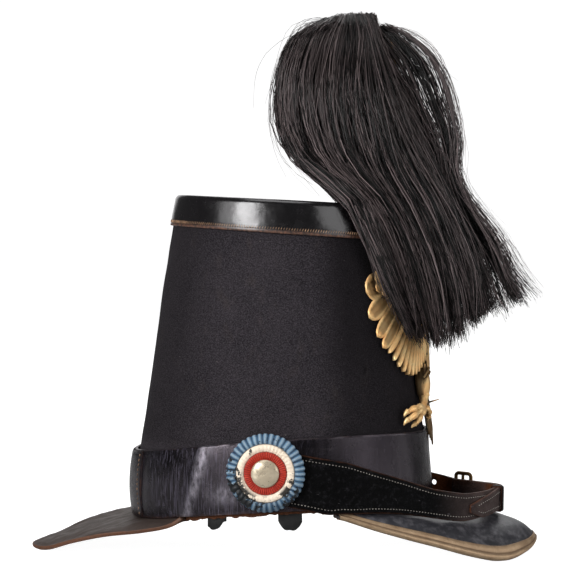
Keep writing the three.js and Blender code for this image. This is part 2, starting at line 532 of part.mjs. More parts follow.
// ---------------------------------------------------------------- plume
function plumeRow(s) {
  const curve = (column) => {
    const at = s * (PLUME_ROWS.length - 1);
    const i = Math.min(PLUME_ROWS.length - 2, Math.floor(at));
    const f = at - i;
    const v = (k) => PLUME_ROWS[clamp(k, 0, PLUME_ROWS.length - 1)][column];
    return 0.5 * (2 * v(i) + (v(i + 1) - v(i - 1)) * f + (2 * v(i - 1) - 5 * v(i) + 4 * v(i + 1) - v(i + 2)) * f * f + (3 * v(i) - v(i - 1) - 3 * v(i + 1) + v(i + 2)) * f ** 3);
  };
  return Object.fromEntries(Object.keys(PLUME_ROWS[0]).map((column) => [column, curve(column)]));
}
function plumePoint(phi, s) {
  const row = plumeRow(s);
  const square = (v) => Math.sign(v) * Math.abs(v) ** 0.82;
  const c = square(Math.cos(phi));
  const endX = c > 0 ? row.frontX : row.rearX;
  const endZ = c > 0 ? row.frontZ : row.rearZ;
  return V(lerp(row.midX, endX, Math.abs(c)), row.half * square(Math.sin(phi)), lerp(row.midZ, endZ, Math.abs(c)));
}
const plumeForm = loft(Array.from({ length: PLUME_STEPS + 1 }, (_, i) => Array.from({ length: PLUME_AROUND }, (_, j) => plumePoint((2 * Math.PI * j) / PLUME_AROUND, i / PLUME_STEPS))), {
  outline: Array.from({ length: PLUME_AROUND }, (_, j) => new THREE.Vector2(Math.cos((2 * Math.PI * j) / PLUME_AROUND), Math.sin((2 * Math.PI * j) / PLUME_AROUND))),
});
// the body with its lid, filled and a little larger, and a thicker stretch in front where the eagle is
const FEW = 36;
function filled(sections, grow, lift) {
  return loft(sections.map((s, i) => Array.from({ length: FEW }, (_, k) => sectionPoint(s, (2 * Math.PI * k) / FEW, grow, i === sections.length - 1 ? lift : 0))));
}
const capOutside = { ...CAP_SECTIONS[1], z: CAP_TOP };
const bodyKeepOut = solid(filled([FELT_SECTIONS[1], FELT_SECTIONS[2]], PLUME_OFF_BODY + 0.3, 0)).add(solid(filled([{ ...CAP_SECTIONS[0], z: CAP_SECTIONS[0].z - 4 }, capOutside], PLUME_OFF_BODY + 0.2, PLUME_OFF_BODY)));
function eagleKeepOut() {
  const { height, halfDeg, off } = PLUME_OFF_EAGLE;
  const arc = (z) => {
    const angles = Array.from({ length: 17 }, (_, i) => rad(lerp(-halfDeg, halfDeg, i / 16)));
    return [...angles.map((u) => feltAt(u, z, off)), ...angles.slice().reverse().map((u) => feltAt(u, z, -20))];
  };
  const rings = [90, 150, height].map(arc);
  return loft(rings, { outline: rings[0].map((p) => new THREE.Vector2(p.x, p.y)) });
}
function postSolid(r, grow) {
  const foot = V(PLUME_POST.footX, 0, PLUME_POST.footZ - grow), top = V(PLUME_POST.topX, 0, PLUME_POST.topZ + grow);
  const along = top.clone().sub(foot);
  const rod = new THREE.CylinderGeometry(r, r, along.length(), 12);
  rod.applyQuaternion(new THREE.Quaternion().setFromUnitVectors(V(0, 1, 0), along.clone().normalize()));
  return rod.translate(...foot.add(top).multiplyScalar(0.5).toArray());
}
const plumePost = postSolid(PLUME_POST.r, 0);
const plumeHair = geometryOf(solid(plumeForm).subtract(bodyKeepOut).subtract(solid(eagleKeepOut())).subtract(solid(postSolid(PLUME_POST.r + 0.4, 0.4))));

// ---------------------------------------------------------------- liner tongues
function linerTab({ fromX, toX, lowZ, slantMm, round }) {
  const steps = 8;
  const angleAt = (x) => -Math.acos((x - HEM.cx) / (HEM.a - FELT));
  const rings = Array.from({ length: steps + 1 }, (_, i) => {
    const q = i / steps;
    const u = angleAt(lerp(fromX, toX, q));
    const edge = Math.abs(2 * q - 1);
    const low = lowZ + slantMm * q * q + round * (1 - Math.sqrt(Math.max(0, 1 - edge ** 3)));
    const outer = (z) => feltAt(u, z, -FELT - LINER.off);
    const inner = (z) => feltAt(u, z, -FELT - LINER.off - LINER.leather);
    return [outer(low), inner(low), inner(LINER.top), outer(LINER.top)];
  });
  return loft(rings, { outline: STRAP_OUTLINE });
}

// ---------------------------------------------------------------- assembly
const finish = (color, roughness, metalness = 0) => new THREE.MeshStandardMaterial({ color, roughness, metalness });
const hat = new THREE.Group();
hat.name = 'shako';
function put(name, geometry, material, into = hat) {
  const mesh = new THREE.Mesh(geometry, material);
  mesh.name = name;
  into.add(mesh);
  return mesh;
}
put('crown_shell', crownShell, finish(0x262325, 0.95));
put('top_cap', topCap, finish(0x1c1a1c, 0.25));
put('base_band', baseBand, finish(0x201e20, 0.4));
put('front_peak', frontPeak, finish(0x3c3e46, 0.4));
put('front_peak_rim', frontPeakRim, finish(0xa58769, 0.45, 0.7));
put('rear_peak', rearPeak, finish(0x4b4442, 0.6));
put('strap_near', strapNear, finish(0x232124, 0.5));
put('strap_far', strapFar, finish(0x2a2425, 0.5));
standAt(put('strap_keeper', strapKeeper, finish(0x232124, 0.5)), keeperStation, STRAP_LAYER / 2, (keeperStation.top + keeperStation.bottom) / 2);
standAt(put('strap_buckle', strapBuckle, finish(0xbe9b64, 0.35, 1)), buckleStation, STRAP_LAYER + STRAP_LEATHER / 2 + 1.5, (buckleFoot + buckleHead) / 2);

const rosette = new THREE.Group();
rosette.position.set(COCKADE.x, -COCKADE.seat, COCKADE.z);
rosette.rotation.z = -rad(COCKADE.turnDeg);
hat.add(rosette);
put('cockade', latheOf(COCKADE_PROFILE), finish(0x558cb9, 0.55), rosette).rotation.x = Math.PI;
put('cockade_button', latheOf(BUTTON_PROFILE), finish(0xc8c3af, 0.35, 0.9), rosette).rotation.x = Math.PI;

const farSide = new THREE.Group();
farSide.position.set(COCKADE.x, COCKADE.seat, COCKADE.z);
farSide.rotation.z = rad(COCKADE.turnDeg);
hat.add(farSide);
put('far_strap_button', latheOf(FAR_BUTTON_PROFILE), finish(0xbe9b64, 0.4, 1), farSide);

put('eagle_plate', eaglePlate, finish(0xbe9b64, 0.35, 1));
put('plume_hair', plumeHair, finish(0x373232, 0.6));
put('plume_post', plumePost, finish(0xbe9b64, 0.4, 1));
for (const tab of LINER_TABS) put(tab.name, linerTab(tab), finish(0x1a1818, 0.7));

export default hat;
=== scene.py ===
import math

import bpy
import numpy as np
from mathutils import Matrix, Vector


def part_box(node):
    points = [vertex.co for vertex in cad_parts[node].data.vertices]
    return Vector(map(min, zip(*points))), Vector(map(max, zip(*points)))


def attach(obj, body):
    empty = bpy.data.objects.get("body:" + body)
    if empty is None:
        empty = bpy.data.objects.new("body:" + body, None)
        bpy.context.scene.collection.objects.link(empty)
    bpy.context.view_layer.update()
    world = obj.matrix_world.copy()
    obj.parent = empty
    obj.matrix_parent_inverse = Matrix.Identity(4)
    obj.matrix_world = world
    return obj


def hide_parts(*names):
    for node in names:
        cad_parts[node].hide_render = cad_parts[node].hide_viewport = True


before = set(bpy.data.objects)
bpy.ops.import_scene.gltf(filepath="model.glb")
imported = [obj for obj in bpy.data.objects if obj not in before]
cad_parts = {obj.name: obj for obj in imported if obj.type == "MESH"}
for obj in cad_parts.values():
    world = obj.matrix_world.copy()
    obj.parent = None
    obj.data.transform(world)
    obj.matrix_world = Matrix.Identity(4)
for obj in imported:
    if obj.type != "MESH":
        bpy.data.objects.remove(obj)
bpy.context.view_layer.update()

MM = 0.001
scene = bpy.context.scene
pi = math.pi


# ------------------------------------------------------------------ small tools
def lin(r, g, b, a=1.0):
    """A display colour (0 to 255) as linear light."""
    f = lambda c: (c / 255 / 12.92) if c / 255 <= 0.04045 else ((c / 255 + 0.055) / 1.055) ** 2.4
    return (f(r), f(g), f(b), a)


def smooth(x, lo, hi):
    t = np.clip((np.asarray(x, float) - lo) / (hi - lo), 0, 1)
    return t * t * (3 - 2 * t)


def wobble(p, size, seed, waves=10):
    """Smooth noise of about unit size over points p (n, 3), features about `size` mm."""
    r = np.random.default_rng(seed)
    out = np.zeros(p.shape[:-1])
    for _ in range(waves):
        d = r.normal(size=3)
        d *= (2 * pi / size) * r.uniform(0.5, 1.5) / np.linalg.norm(d)
        out += np.sin(p @ d + r.uniform(0, 2 * pi))
    return out / math.sqrt(waves / 2)


def hermite(xs, ys, x, flat_start=True):
    """Cubic through table points, as the CAD reads its tables."""
    xs, ys = np.asarray(xs, float), np.asarray(ys, float)
    m = np.zeros(len(xs))
    m[1:-1] = (ys[2:] - ys[:-2]) / (xs[2:] - xs[:-2])
    m[-1] = (ys[-1] - ys[-2]) / (xs[-1] - xs[-2])
    if not flat_start:
        m[0] = (ys[1] - ys[0]) / (xs[1] - xs[0])
    x = np.asarray(x, float)
    i = np.clip(np.searchsorted(xs, x, side="left") - 1, 0, len(xs) - 2)
    h = xs[i + 1] - xs[i]
    s = np.clip((x - xs[i]) / h, 0, 1)
    s2, s3 = s * s, s**3
    return (2 * s3 - 3 * s2 + 1) * ys[i] + (s3 - 2 * s2 + s) * h * m[i] + (3 * s2 - 2 * s3) * ys[i + 1] + (s3 - s2) * h * m[i + 1]


def grid_quads(rows, cols, loop_rows=False, loop_cols=False, base=0):
    r = np.arange(rows if loop_rows else rows - 1)
    c = np.arange(cols if loop_cols else cols - 1)
    R, C = np.meshgrid(r, c, indexing="ij")
    R2, C2 = (R + 1) % rows, (C + 1) % cols
    q = np.stack([R * cols + C, R * cols + C2, R2 * cols + C2, R2 * cols + C], -1).reshape(-1, 4)
    return q + base


class Heap:
    """Closed shells gathered into one mesh."""

    def __init__(self):
        self.v, self.q, self.n = [], [], 0
        self.tags = {}

    def add(self, verts, faces, **tags):
        verts = np.asarray(verts, float).reshape(-1, 3)
        self.v.append(verts)
        self.q += [tuple(int(i) + self.n for i in f) for f in faces]
        for key in set(tags) | set(self.tags):
            have = self.tags.setdefault(key, [np.zeros(self.n)])
            value = tags.get(key, 0.0)
            have.append(np.broadcast_to(np.asarray(value, float), (len(verts),)).copy())
        self.n += len(verts)

    def verts(self):
        return np.concatenate(self.v) if self.v else np.zeros((0, 3))


def fix_normals(me):
    import bmesh
    bm = bmesh.new()
    bm.from_mesh(me)
    bmesh.ops.recalc_face_normals(bm, faces=bm.faces)
    bm.to_mesh(me)
    bm.free()


def piece(name, verts, faces, material, replaces=(), tags=None, sharp=None, recalc=True):
    me = bpy.data.meshes.new(name)
    me.from_pydata((np.asarray(verts, float) * MM).tolist(), [], [tuple(map(int, f)) for f in faces])
    me.update()
    if recalc:
        fix_normals(me)
    me.polygons.foreach_set("use_smooth", np.ones(len(me.polygons), bool))
    if sharp:
        me.set_sharp_from_angle(angle=math.radians(sharp))
    for key, value in (tags or {}).items():
        a = me.attributes.new(key, "FLOAT", "POINT")
        a.data.foreach_set("value", np.asarray(value, np.float32).ravel())
    ob = bpy.data.objects.new(name, me)
    scene.collection.objects.link(ob)
    me.materials.append(material)
    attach(ob, "root")
    for n in replaces:
        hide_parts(n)
    return ob


def from_heap(name, heap, material, replaces=(), sharp=None, recalc=True):
    return piece(name, heap.verts(), heap.q, material, replaces, {k: np.concatenate(v) for k, v in heap.tags.items()}, sharp, recalc)


def loft_closed(rings):
    """Rings (r, m, 3) joined in order, both ends closed by a fan. Returns vertices and faces."""
    rings = np.asarray(rings, float)
    r, m, _ = rings.shape
    verts = np.concatenate([rings.reshape(-1, 3), rings[0].mean(0)[None], rings[-1].mean(0)[None]])
    faces = [tuple(f) for f in grid_quads(r, m, False, True)]
    a, b = r * m, r * m + 1
    for j in range(m):
        faces.append((a, (j + 1) % m, j))
        faces.append((b, (r - 1) * m + j, (r - 1) * m + (j + 1) % m))
    return verts, faces


def tube(path, radius, sides=8, flat=None):
    """A closed tube along points; radius may vary. flat is not used."""
    path = np.asarray(path, float)
    n = len(path)
    radius = np.broadcast_to(np.asarray(radius, float), (n,))
    t = np.gradient(path, axis=0)
    t /= np.linalg.norm(t, axis=1)[:, None] + 1e-12
    up = np.array([0.0, 0.0, 1.0]) if abs(t[0] @ [0, 0, 1]) < 0.9 else np.array([1.0, 0, 0])
    rings = []
    for k in range(n):
        side = np.cross(t[k], up)
        side /= np.linalg.norm(side) + 1e-12
        up = np.cross(side, t[k])
        a = 2 * pi * np.arange(sides) / sides
        rings.append(path[k] + radius[k] * (np.cos(a)[:, None] * side + np.sin(a)[:, None] * up))
    return loft_closed(rings)


def ellipsoid(mid, half, turn=None, n=16, m=10):
    th = np.linspace(0, pi, m + 1)[1:-1]
    ph = 2 * pi * np.arange(n) / n
    rings = np.stack([np.stack([np.sin(t) * np.cos(ph), np.sin(t) * np.sin(ph), np.full(n, math.cos(t))], -1) for t in th])
    verts, faces = loft_closed(rings)
    verts[-2], verts[-1] = (0, 0, 1), (0, 0, -1)
    verts = verts * np.asarray(half)
    if turn is not None:
        verts = verts @ np.asarray(turn).T
    return verts + np.asarray(mid), faces


# ------------------------------------------------------------------ materials
def node(nt, kind, inputs=None, **props):
    n = nt.nodes.new(kind)
    for k, v in props.items():
        setattr(n, k, v)
    for k, v in (inputs or {}).items():
        s = n.inputs[k]
        if isinstance(v, bpy.types.NodeSocket):
            nt.links.new(v, s)
        else:
            s.default_value = v
    return n


class Mat:
    def __init__(self, name, **sockets):
        self.m = bpy.data.materials.new(name)
        self.m.use_nodes = True
        self.nt = self.m.node_tree
        self.b = self.nt.nodes["Principled BSDF"]
        for k, v in sockets.items():
            self.b.inputs[k.replace("_", " ")].default_value = v
        self.co = node(self.nt, "ShaderNodeTexCoord").outputs["Object"]

    def link(self, out, socket):
        self.nt.links.new(out, self.b.inputs[socket])

    def stretch(self, x, y, z, co=None):
        return node(self.nt, "ShaderNodeMapping", {"Vector": co or self.co, "Scale": (x, y, z)}).outputs[0]

    def noise(self, mm, detail=4, rough=0.55, co=None, w=0.0):
        return node(self.nt, "ShaderNodeTexNoise", {"Vector": co or self.co, "Scale": 1000.0 / mm, "Detail": detail, "Roughness": rough, "W": w}, noise_dimensions="4D").outputs["Fac"]

    def voronoi(self, mm, feature="F1", co=None, out="Distance", rnd=1.0):
        n = node(self.nt, "ShaderNodeTexVoronoi", {"Vector": co or self.co, "Scale": 1000.0 / mm, "Randomness": rnd}, feature=feature)
        return n.outputs[out]

    def attr(self, name):
        return node(self.nt, "ShaderNodeAttribute", attribute_name=name).outputs["Fac"]

    def math(self, op, a, b=0.0, c=0.0, clamp=False):
        n = node(self.nt, "ShaderNodeMath", operation=op, use_clamp=clamp)
        for i, v in enumerate((a, b, c)):
            if isinstance(v, bpy.types.NodeSocket):
                self.nt.links.new(v, n.inputs[i])
            else:
                n.inputs[i].default_value = v
        return n.outputs[0]

    def span(self, v, lo, hi, to0=0.0, to1=1.0):
        return node(self.nt, "ShaderNodeMapRange", {"Value": v, "From Min": lo, "From Max": hi, "To Min": to0, "To Max": to1}, clamp=True).outputs[0]

    def mix(self, fac, a, b, blend="MIX"):
        n = node(self.nt, "ShaderNodeMix", data_type="RGBA", blend_type=blend)
        for key, v in ((0, fac), (6, a), (7, b)):
            if isinstance(v, bpy.types.NodeSocket):
                self.nt.links.new(v, n.inputs[key])
            else:
                n.inputs[key].default_value = v
        return n.outputs[2]

    def bump(self, height, mm, strength=1.0, after=None):
        n = node(self.nt, "ShaderNodeBump", {"Height": height, "Distance": mm * MM, "Strength": strength})
        if after is not None:
            self.nt.links.new(after, n.inputs["Normal"])
        self.link(n.outputs[0], "Normal")
        return n.outputs[0]


def felt_material():
    m = Mat("felt", Roughness=0.96, Sheen_Weight=0.05, Sheen_Roughness=0.4, Sheen_Tint=(0.75, 0.72, 0.74, 1), Specular_IOR_Level=0.06)
    base = m.mix(m.span(m.noise(34, 5), 0.35, 0.68), lin(26, 24, 27), lin(39, 36, 39))
    base = m.mix(m.span(m.noise(0.75, 3, co=m.stretch(1, 1, 1.5)), 0.42, 0.66, 0.0, 0.8), base, lin(74, 69, 74))
    base = m.mix(m.span(m.noise(9, 4, co=m.stretch(1, 1, 0.5), w=3.0), 0.58, 0.8, 0, 0.32), base, lin(72, 64, 60))
    cell = m.voronoi(17, out="Color")
    pick = node(m.nt, "ShaderNodeSeparateColor", {"Color": cell}).outputs[0]
    speck = m.math("MULTIPLY", m.span(m.voronoi(17), 0.016, 0.034, 1, 0), m.span(pick, 0.72, 0.74))
    base = m.mix(speck, base, lin(176, 168, 162))
    fine = m.voronoi(6.5, co=m.stretch(1, 1, 1.0))
    pick2 = node(m.nt, "ShaderNodeSeparateColor", {"Color": m.voronoi(6.5, out="Color")}).outputs[1]
    lint = m.math("MULTIPLY", m.span(fine, 0.03, 0.06, 1, 0), m.span(pick2, 0.80, 0.82))
    base = m.mix(m.math("MULTIPLY", lint, 0.55), base, lin(140, 132, 128))
    # painted shade: the front of the felt darkened as the shadow of the plume and eagle, and the back darkened too
    base = m.mix(m.attr("shade"), base, lin(10, 9, 10))
    # moth: a small moth hole, a dip in the bump; its near-black fill is painted shade of the hole
    moth = m.attr("moth")
    base = m.mix(moth, base, lin(6, 5, 5))
    hem = m.attr("hem")
    raw = m.mix(m.noise(2.2, 4), lin(42, 25, 18), lin(104, 66, 46))
    base = m.mix(m.math("MULTIPLY", hem, m.span(m.noise(3.0, 4, w=7), 0.25, 0.45, 0.45, 1.0)), base, raw)
    m.link(base, "Base Color")
    h = m.math("ADD", m.noise(0.9, 4, 0.7), m.math("MULTIPLY", m.noise(4.5, 3), 0.8))
    m.bump(m.math("SUBTRACT", h, m.math("MULTIPLY", moth, 2.0)), 0.5, 0.8)
    return m.m


def patent_material():
    m = Mat("patent", Coat_Weight=0.5, Coat_Roughness=0.2, Coat_Tint=(1.0, 0.97, 1.0, 1), Specular_IOR_Level=0.5)
    raw = m.attr("raw")
    base = m.mix(m.span(m.noise(18, 4), 0.3, 0.7), lin(9, 8, 9), lin(17, 15, 17))
    scuff = m.span(m.noise(5, 5, 0.7, co=m.stretch(0.25, 0.25, 1.4)), 0.62, 0.78, 0, 0.5)
    base = m.mix(scuff, base, lin(66, 60, 58))
    brown = m.mix(m.span(m.noise(1.9, 5, 0.65), 0.38, 0.64), lin(16, 11, 9), lin(118, 80, 60))
    base = m.mix(raw, base, brown)
    m.link(base, "Base Color")
    r = m.math("ADD", m.span(m.noise(7, 4), 0.3, 0.75, 0.16, 0.34), m.math("MULTIPLY", raw, 0.5))
    m.link(m.math("ADD", r, m.math("MULTIPLY", scuff, 0.35)), "Roughness")
    first = m.bump(m.noise(22, 3), 1.5, 0.55)
    m.bump(m.noise(1.3, 3), 0.06, 0.5, first)
    return m.m


def band_material():
    m = Mat("band_leather", Specular_IOR_Level=0.4, Specular_Tint=(1.0, 0.86, 1.0, 1), Coat_Weight=0.12, Coat_Roughness=0.2, Coat_Tint=(1.0, 0.92, 1.0, 1))
    lines = m.noise(1.1, 3, 0.6, co=m.stretch(1, 1, 0.06))
    fine = m.noise(0.75, 2, 0.5, co=m.stretch(1, 1, 0.025), w=3)
    craze = m.math("MAXIMUM", m.span(lines, 0.6, 0.65), m.span(fine, 0.53, 0.6, 0, 0.6))
    far_x = node(m.nt, "ShaderNodeSeparateXYZ", {"Vector": m.co}).outputs[0]
    craze = m.math("MULTIPLY", craze, m.math("MULTIPLY", m.span(far_x, -0.035, 0.02, 1.0, 0.12), m.span(far_x, -0.098, -0.078, 0.2, 1.0)))
    streak = m.noise(3.0, 4, 0.6, co=m.stretch(0.05, 0.05, 1.0))
    base = m.mix(m.span(m.noise(22, 4), 0.3, 0.7), lin(3, 3, 4), lin(8, 7, 9))
    base = m.mix(m.math("MULTIPLY", craze, 0.56), base, lin(92, 88, 102))
    base = m.mix(m.span(streak, 0.62, 0.78, 0, 0.4), base, lin(60, 57, 58))
    # painted sheen: a soft painted reflection, the leather made lighter across a stretch towards the front
    painted_sheen = m.math("MULTIPLY", m.span(far_x, 0.028, 0.055), m.span(far_x, 0.092, 0.064))
    base = m.mix(m.math("MULTIPLY", painted_sheen, m.span(m.noise(12, 4, w=8), 0.3, 0.7, 0.6, 1.0)), base, lin(46, 42, 47))
    # painted highlight: a bright streak along the diagonal crease and a patch where the left softbox is reflected
    painted_highlight = m.math("MULTIPLY", m.attr("painted_highlight"), m.span(m.noise(3.2, 5, 0.7, co=m.stretch(1, 1, 0.4), w=5), 0.36, 0.62))
    base = m.mix(painted_highlight, base, lin(176, 172, 182))
    edge = m.attr("edge")
    base = m.mix(m.math("MULTIPLY", edge, m.span(m.noise(4, 4, w=2), 0.45, 0.65, 0.1, 0.7)), base, m.mix(m.noise(2, 3), lin(44, 30, 24), lin(96, 64, 46)))
    m.link(base, "Base Color")
    m.link(m.math("ADD", m.span(m.noise(9, 4), 0.3, 0.7, 0.18, 0.32), m.math("MULTIPLY", edge, 0.35)), "Roughness")
    h = m.math("ADD", m.math("ADD", m.math("MULTIPLY", lines, 0.7), m.math("MULTIPLY", fine, 0.5)), m.math("MULTIPLY", m.noise(0.8, 3), 0.35))
    m.bump(h, 0.28, 0.6)
    return m.m


def peak_material():
    m = Mat("peak_leather", Coat_Weight=0.2, Coat_Roughness=0.28)
    base = m.mix(m.span(m.noise(30, 4), 0.3, 0.7), lin(28, 28, 33), lin(50, 50, 56))
    base = m.mix(m.span(m.noise(6, 6, 0.7), 0.47, 0.66, 0, 0.75), base, lin(98, 96, 101))
    base = m.mix(m.span(m.noise(2.0, 4, 0.6, co=m.stretch(0.2, 0.9, 1)), 0.62, 0.75, 0, 0.35), base, lin(30, 29, 33))
    under = m.attr("under")
    base = m.mix(under, base, m.mix(m.noise(6, 4), lin(52, 34, 24), lin(86, 58, 40)))
    m.link(base, "Base Color")
    m.link(m.math("ADD", m.span(m.noise(6, 4), 0.3, 0.7, 0.42, 0.58), m.math("MULTIPLY", under, 0.3)), "Roughness")
    h = m.math("ADD", m.voronoi(1.0, "F1"), m.math("MULTIPLY", m.noise(5, 3), 0.8))
    m.bump(h, 0.12, 0.5)
    return m.m


def rear_material():
    m = Mat("rear_leather", Specular_IOR_Level=0.4)
    base = m.mix(m.span(m.noise(26, 5), 0.3, 0.7), lin(55, 45, 41), lin(67, 56, 51))
    base = m.mix(m.span(m.noise(3, 5, 0.7), 0.5, 0.75, 0, 0.28), base, lin(88, 76, 71))
    base = m.mix(m.span(m.noise(1.8, 4, 0.6, co=m.stretch(0.25, 0.8, 1)), 0.6, 0.74, 0, 0.2), base, lin(38, 33, 32))
    edge = m.attr("edge")
    base = m.mix(m.math("MULTIPLY", edge, m.span(m.noise(5, 4, w=5), 0.25, 0.5, 0.45, 1)), base, m.mix(m.noise(2, 3), lin(62, 38, 26), lin(124, 78, 52)))
    under = m.attr("under")
    base = m.mix(under, base, m.mix(m.noise(6, 4), lin(60, 38, 26), lin(96, 66, 46)))
    m.link(base, "Base Color")
    m.link(m.span(m.noise(8, 4), 0.3, 0.7, 0.5, 0.72), "Roughness")
    m.bump(m.math("ADD", m.voronoi(1.2, "F1"), m.math("MULTIPLY", m.noise(3.5, 4), 1.0)), 0.14, 0.5)
    return m.m


def strap_material(name="strap_leather", wear=0.35):
    m = Mat(name, Specular_IOR_Level=0.06)
    base = m.mix(m.span(m.noise(16, 4), 0.3, 0.7), lin(3, 3, 3), lin(7, 7, 8))
    base = m.mix(m.span(m.noise(3.4, 6, 0.75), 0.52, 0.72, 0, wear), base, lin(64, 62, 67))
    scratch = m.noise(2.2, 3, 0.6, co=m.stretch(0.35, 0.35, 1.0), w=6)
    base = m.mix(m.math("MULTIPLY", m.span(scratch, 0.66, 0.71), m.span(m.noise(14, 3, w=1), 0.45, 0.6)), base, lin(104, 100, 104))
    base = m.mix(m.math("MULTIPLY", m.attr("worn"), m.span(m.noise(9, 5, 0.6, w=9), 0.3, 0.7, 0.4, 0.95)), base, lin(92, 79, 77))
    back = m.attr("back")
    base = m.mix(back, base, m.mix(m.noise(4, 4), lin(64, 34, 18), lin(122, 72, 42)))
    edge = m.attr("edge")
    base = m.mix(m.math("MULTIPLY", edge, m.span(m.noise(7, 3, w=4), 0.35, 0.6, 0.15, 0.9)), base, m.mix(m.noise(2, 3), lin(60, 34, 22), lin(116, 70, 46)))
    m.link(base, "Base Color")
    m.link(m.math("ADD", m.span(m.noise(5, 4), 0.3, 0.7, 0.42, 0.6), m.math("MULTIPLY", back, 0.25)), "Roughness")
    m.bump(m.math("ADD", m.voronoi(1.1, "F1"), m.math("MULTIPLY", m.noise(3, 3), 1.2)), 0.3, 0.7)
    return m.m


def plain_leather(name, dark, light):
    m = Mat(name)
    m.link(m.mix(m.span(m.noise(6, 4), 0.3, 0.7), dark, light), "Base Color")
    m.link(m.span(m.noise(4, 3), 0.3, 0.7, 0.5, 0.75), "Roughness")
    m.bump(m.voronoi(1.0, "F1"), 0.1, 0.5)
    return m.m


def brass_material(name, low, mid, high, rough=(0.26, 0.5), metal=1.0, spots=0.5):
    m = Mat(name, Metallic=metal, Specular_IOR_Level=0.25)
    base = m.mix(m.span(m.noise(8, 5), 0.32, 0.68), mid, high)
    base = m.mix(m.span(m.noise(3.2, 5, 0.7, w=4), 0.56, 0.74, 0, spots), base, low)
    # painted shade: darker in the relief's hollows, between feathers, in grooves and under edges, from per-vertex tags
    deep = m.attr("deep")
    base = m.mix(m.math("MULTIPLY", deep, 0.9), base, low)
    m.link(base, "Base Color")
    m.link(m.math("ADD", m.span(m.noise(2.4, 4), 0.3, 0.7, *rough), m.math("MULTIPLY", deep, 0.25)), "Roughness")
    m.bump(m.math("ADD", m.noise(1.6, 4), m.math("MULTIPLY", m.noise(0.6, 2), 0.5)), 0.08, 0.5)
    return m.m


def cockade_material():
    m = Mat("cockade_paint", Specular_IOR_Level=0.45)
    r, a = m.attr("radius"), m.attr("flute")
    blue = m.mix(m.span(m.noise(5, 4), 0.3, 0.7), lin(42, 76, 108), lin(82, 124, 156))
    # painted highlight on the blue flute crests and painted shade in their troughs
    blue = m.mix(m.span(a, 0.6, 1.0, 0, 0.5), blue, lin(180, 198, 208))
    blue = m.mix(m.span(a, 0.5, 0.05, 0, 0.92), blue, lin(18, 30, 44))
    white = m.mix(m.span(m.noise(5, 4, w=2), 0.3, 0.7), lin(255, 240, 220), lin(240, 221, 198))
    white = m.mix(m.span(m.noise(3, 4, w=8), 0.62, 0.75, 0, 0.7), white, lin(150, 118, 88))
    red = m.mix(m.span(m.noise(4, 4, w=6), 0.3, 0.7), lin(168, 36, 20), lin(200, 62, 38))
    # painted shade in the red ring's flute troughs
    red = m.mix(m.span(a, 0.4, 0.0, 0, 0.7), red, lin(104, 18, 12))
    # darker towards the ring's bottom: painted shade of the light from above, and partly dirt
    blue = m.mix(m.span(node(m.nt, "ShaderNodeSeparateXYZ", {"Vector": m.co}).outputs[2], 0.062, 0.036, 0, 0.5), blue, lin(26, 46, 64))
    base = m.mix(m.span(r, 19.45, 19.75), white, blue)
    base = m.mix(m.span(r, 14.25, 14.55), red, base)
    chip = m.math("MULTIPLY", m.span(m.math("ADD", m.noise(4.2, 5, 0.65, w=3.3), m.math("MULTIPLY", m.attr("worn"), 0.17)), 0.60, 0.63), m.span(r, 14.6, 17.0))
    base = m.mix(m.math("MULTIPLY", chip, 0.97), base, lin(13, 12, 12))
    # painted shade in the steps between the rings and round the rim's underside
    groove_shade = m.attr("deep")
    base = m.mix(m.math("MULTIPLY", groove_shade, 0.85), base, lin(40, 30, 26))
    m.link(base, "Base Color")
    m.link(m.span(m.noise(3, 4), 0.3, 0.7, 0.42, 0.68), "Roughness")
    m.bump(m.math("SUBTRACT", m.noise(0.9, 3), m.math("MULTIPLY", chip, 1.6)), 0.16, 0.6)
    return m.m


def hair_material():
    m = Mat("horsehair", Specular_IOR_Level=0.42)
    # tint: each hair's tone, with painted shade on the inner hairs
    tint = m.attr("tint")
    base = m.mix(tint, lin(4, 3, 3), lin(124, 110, 110))
    base = m.mix(m.span(m.noise(40, 3), 0.5, 0.8, 0, 0.3), base, lin(44, 35, 31))
    m.link(base, "Base Color")
    m.link(m.span(tint, 0, 1, 0.28, 0.42), "Roughness")
    return m.m


def core_material():
    m = Mat("hair_core", Specular_IOR_Level=0.1)
    streak = m.noise(1.5, 4, 0.6, co=m.stretch(1, 1, 0.05))
    m.link(m.mix(m.span(streak, 0.4, 0.66), lin(5, 4, 4), lin(44, 38, 38)), "Base Color")
    m.link(m.span(streak, 0.3, 0.7, 0.6, 0.85), "Roughness")
    m.bump(streak, 0.5, 0.8)
    return m.m


FELT = felt_material()
PATENT = patent_material()
BAND = band_material()
PEAK = peak_material()
REAR = rear_material()
STRAP = strap_material()
LINER = plain_leather("liner_leather", lin(3, 3, 3), lin(8, 7, 7))
BRASS = brass_material("brass", lin(30, 16, 8), lin(255, 196, 128), lin(255, 222, 162), metal=0.38, spots=0.14)
BUCKLE = brass_material("buckle_brass", lin(24, 16, 10), lin(96, 72, 44), lin(140, 108, 68), metal=0.6, spots=0.6)
RIMBRASS = brass_material("rim_brass", lin(78, 58, 44), lin(164, 136, 108), lin(200, 172, 140), rough=(0.3, 0.5), metal=0.6, spots=0.4)
SILVER = brass_material("silver", lin(100, 84, 62), lin(184, 169, 144), lin(216, 202, 178), rough=(0.22, 0.42), metal=0.5, spots=0.5)
PAINT = cockade_material()
HAIR = hair_material()
CORE = core_material()
THREAD = plain_leather("thread", lin(112, 106, 100), lin(176, 170, 162))
DARK_THREAD = plain_leather("dark_thread", lin(58, 40, 30), lin(176, 138, 106))

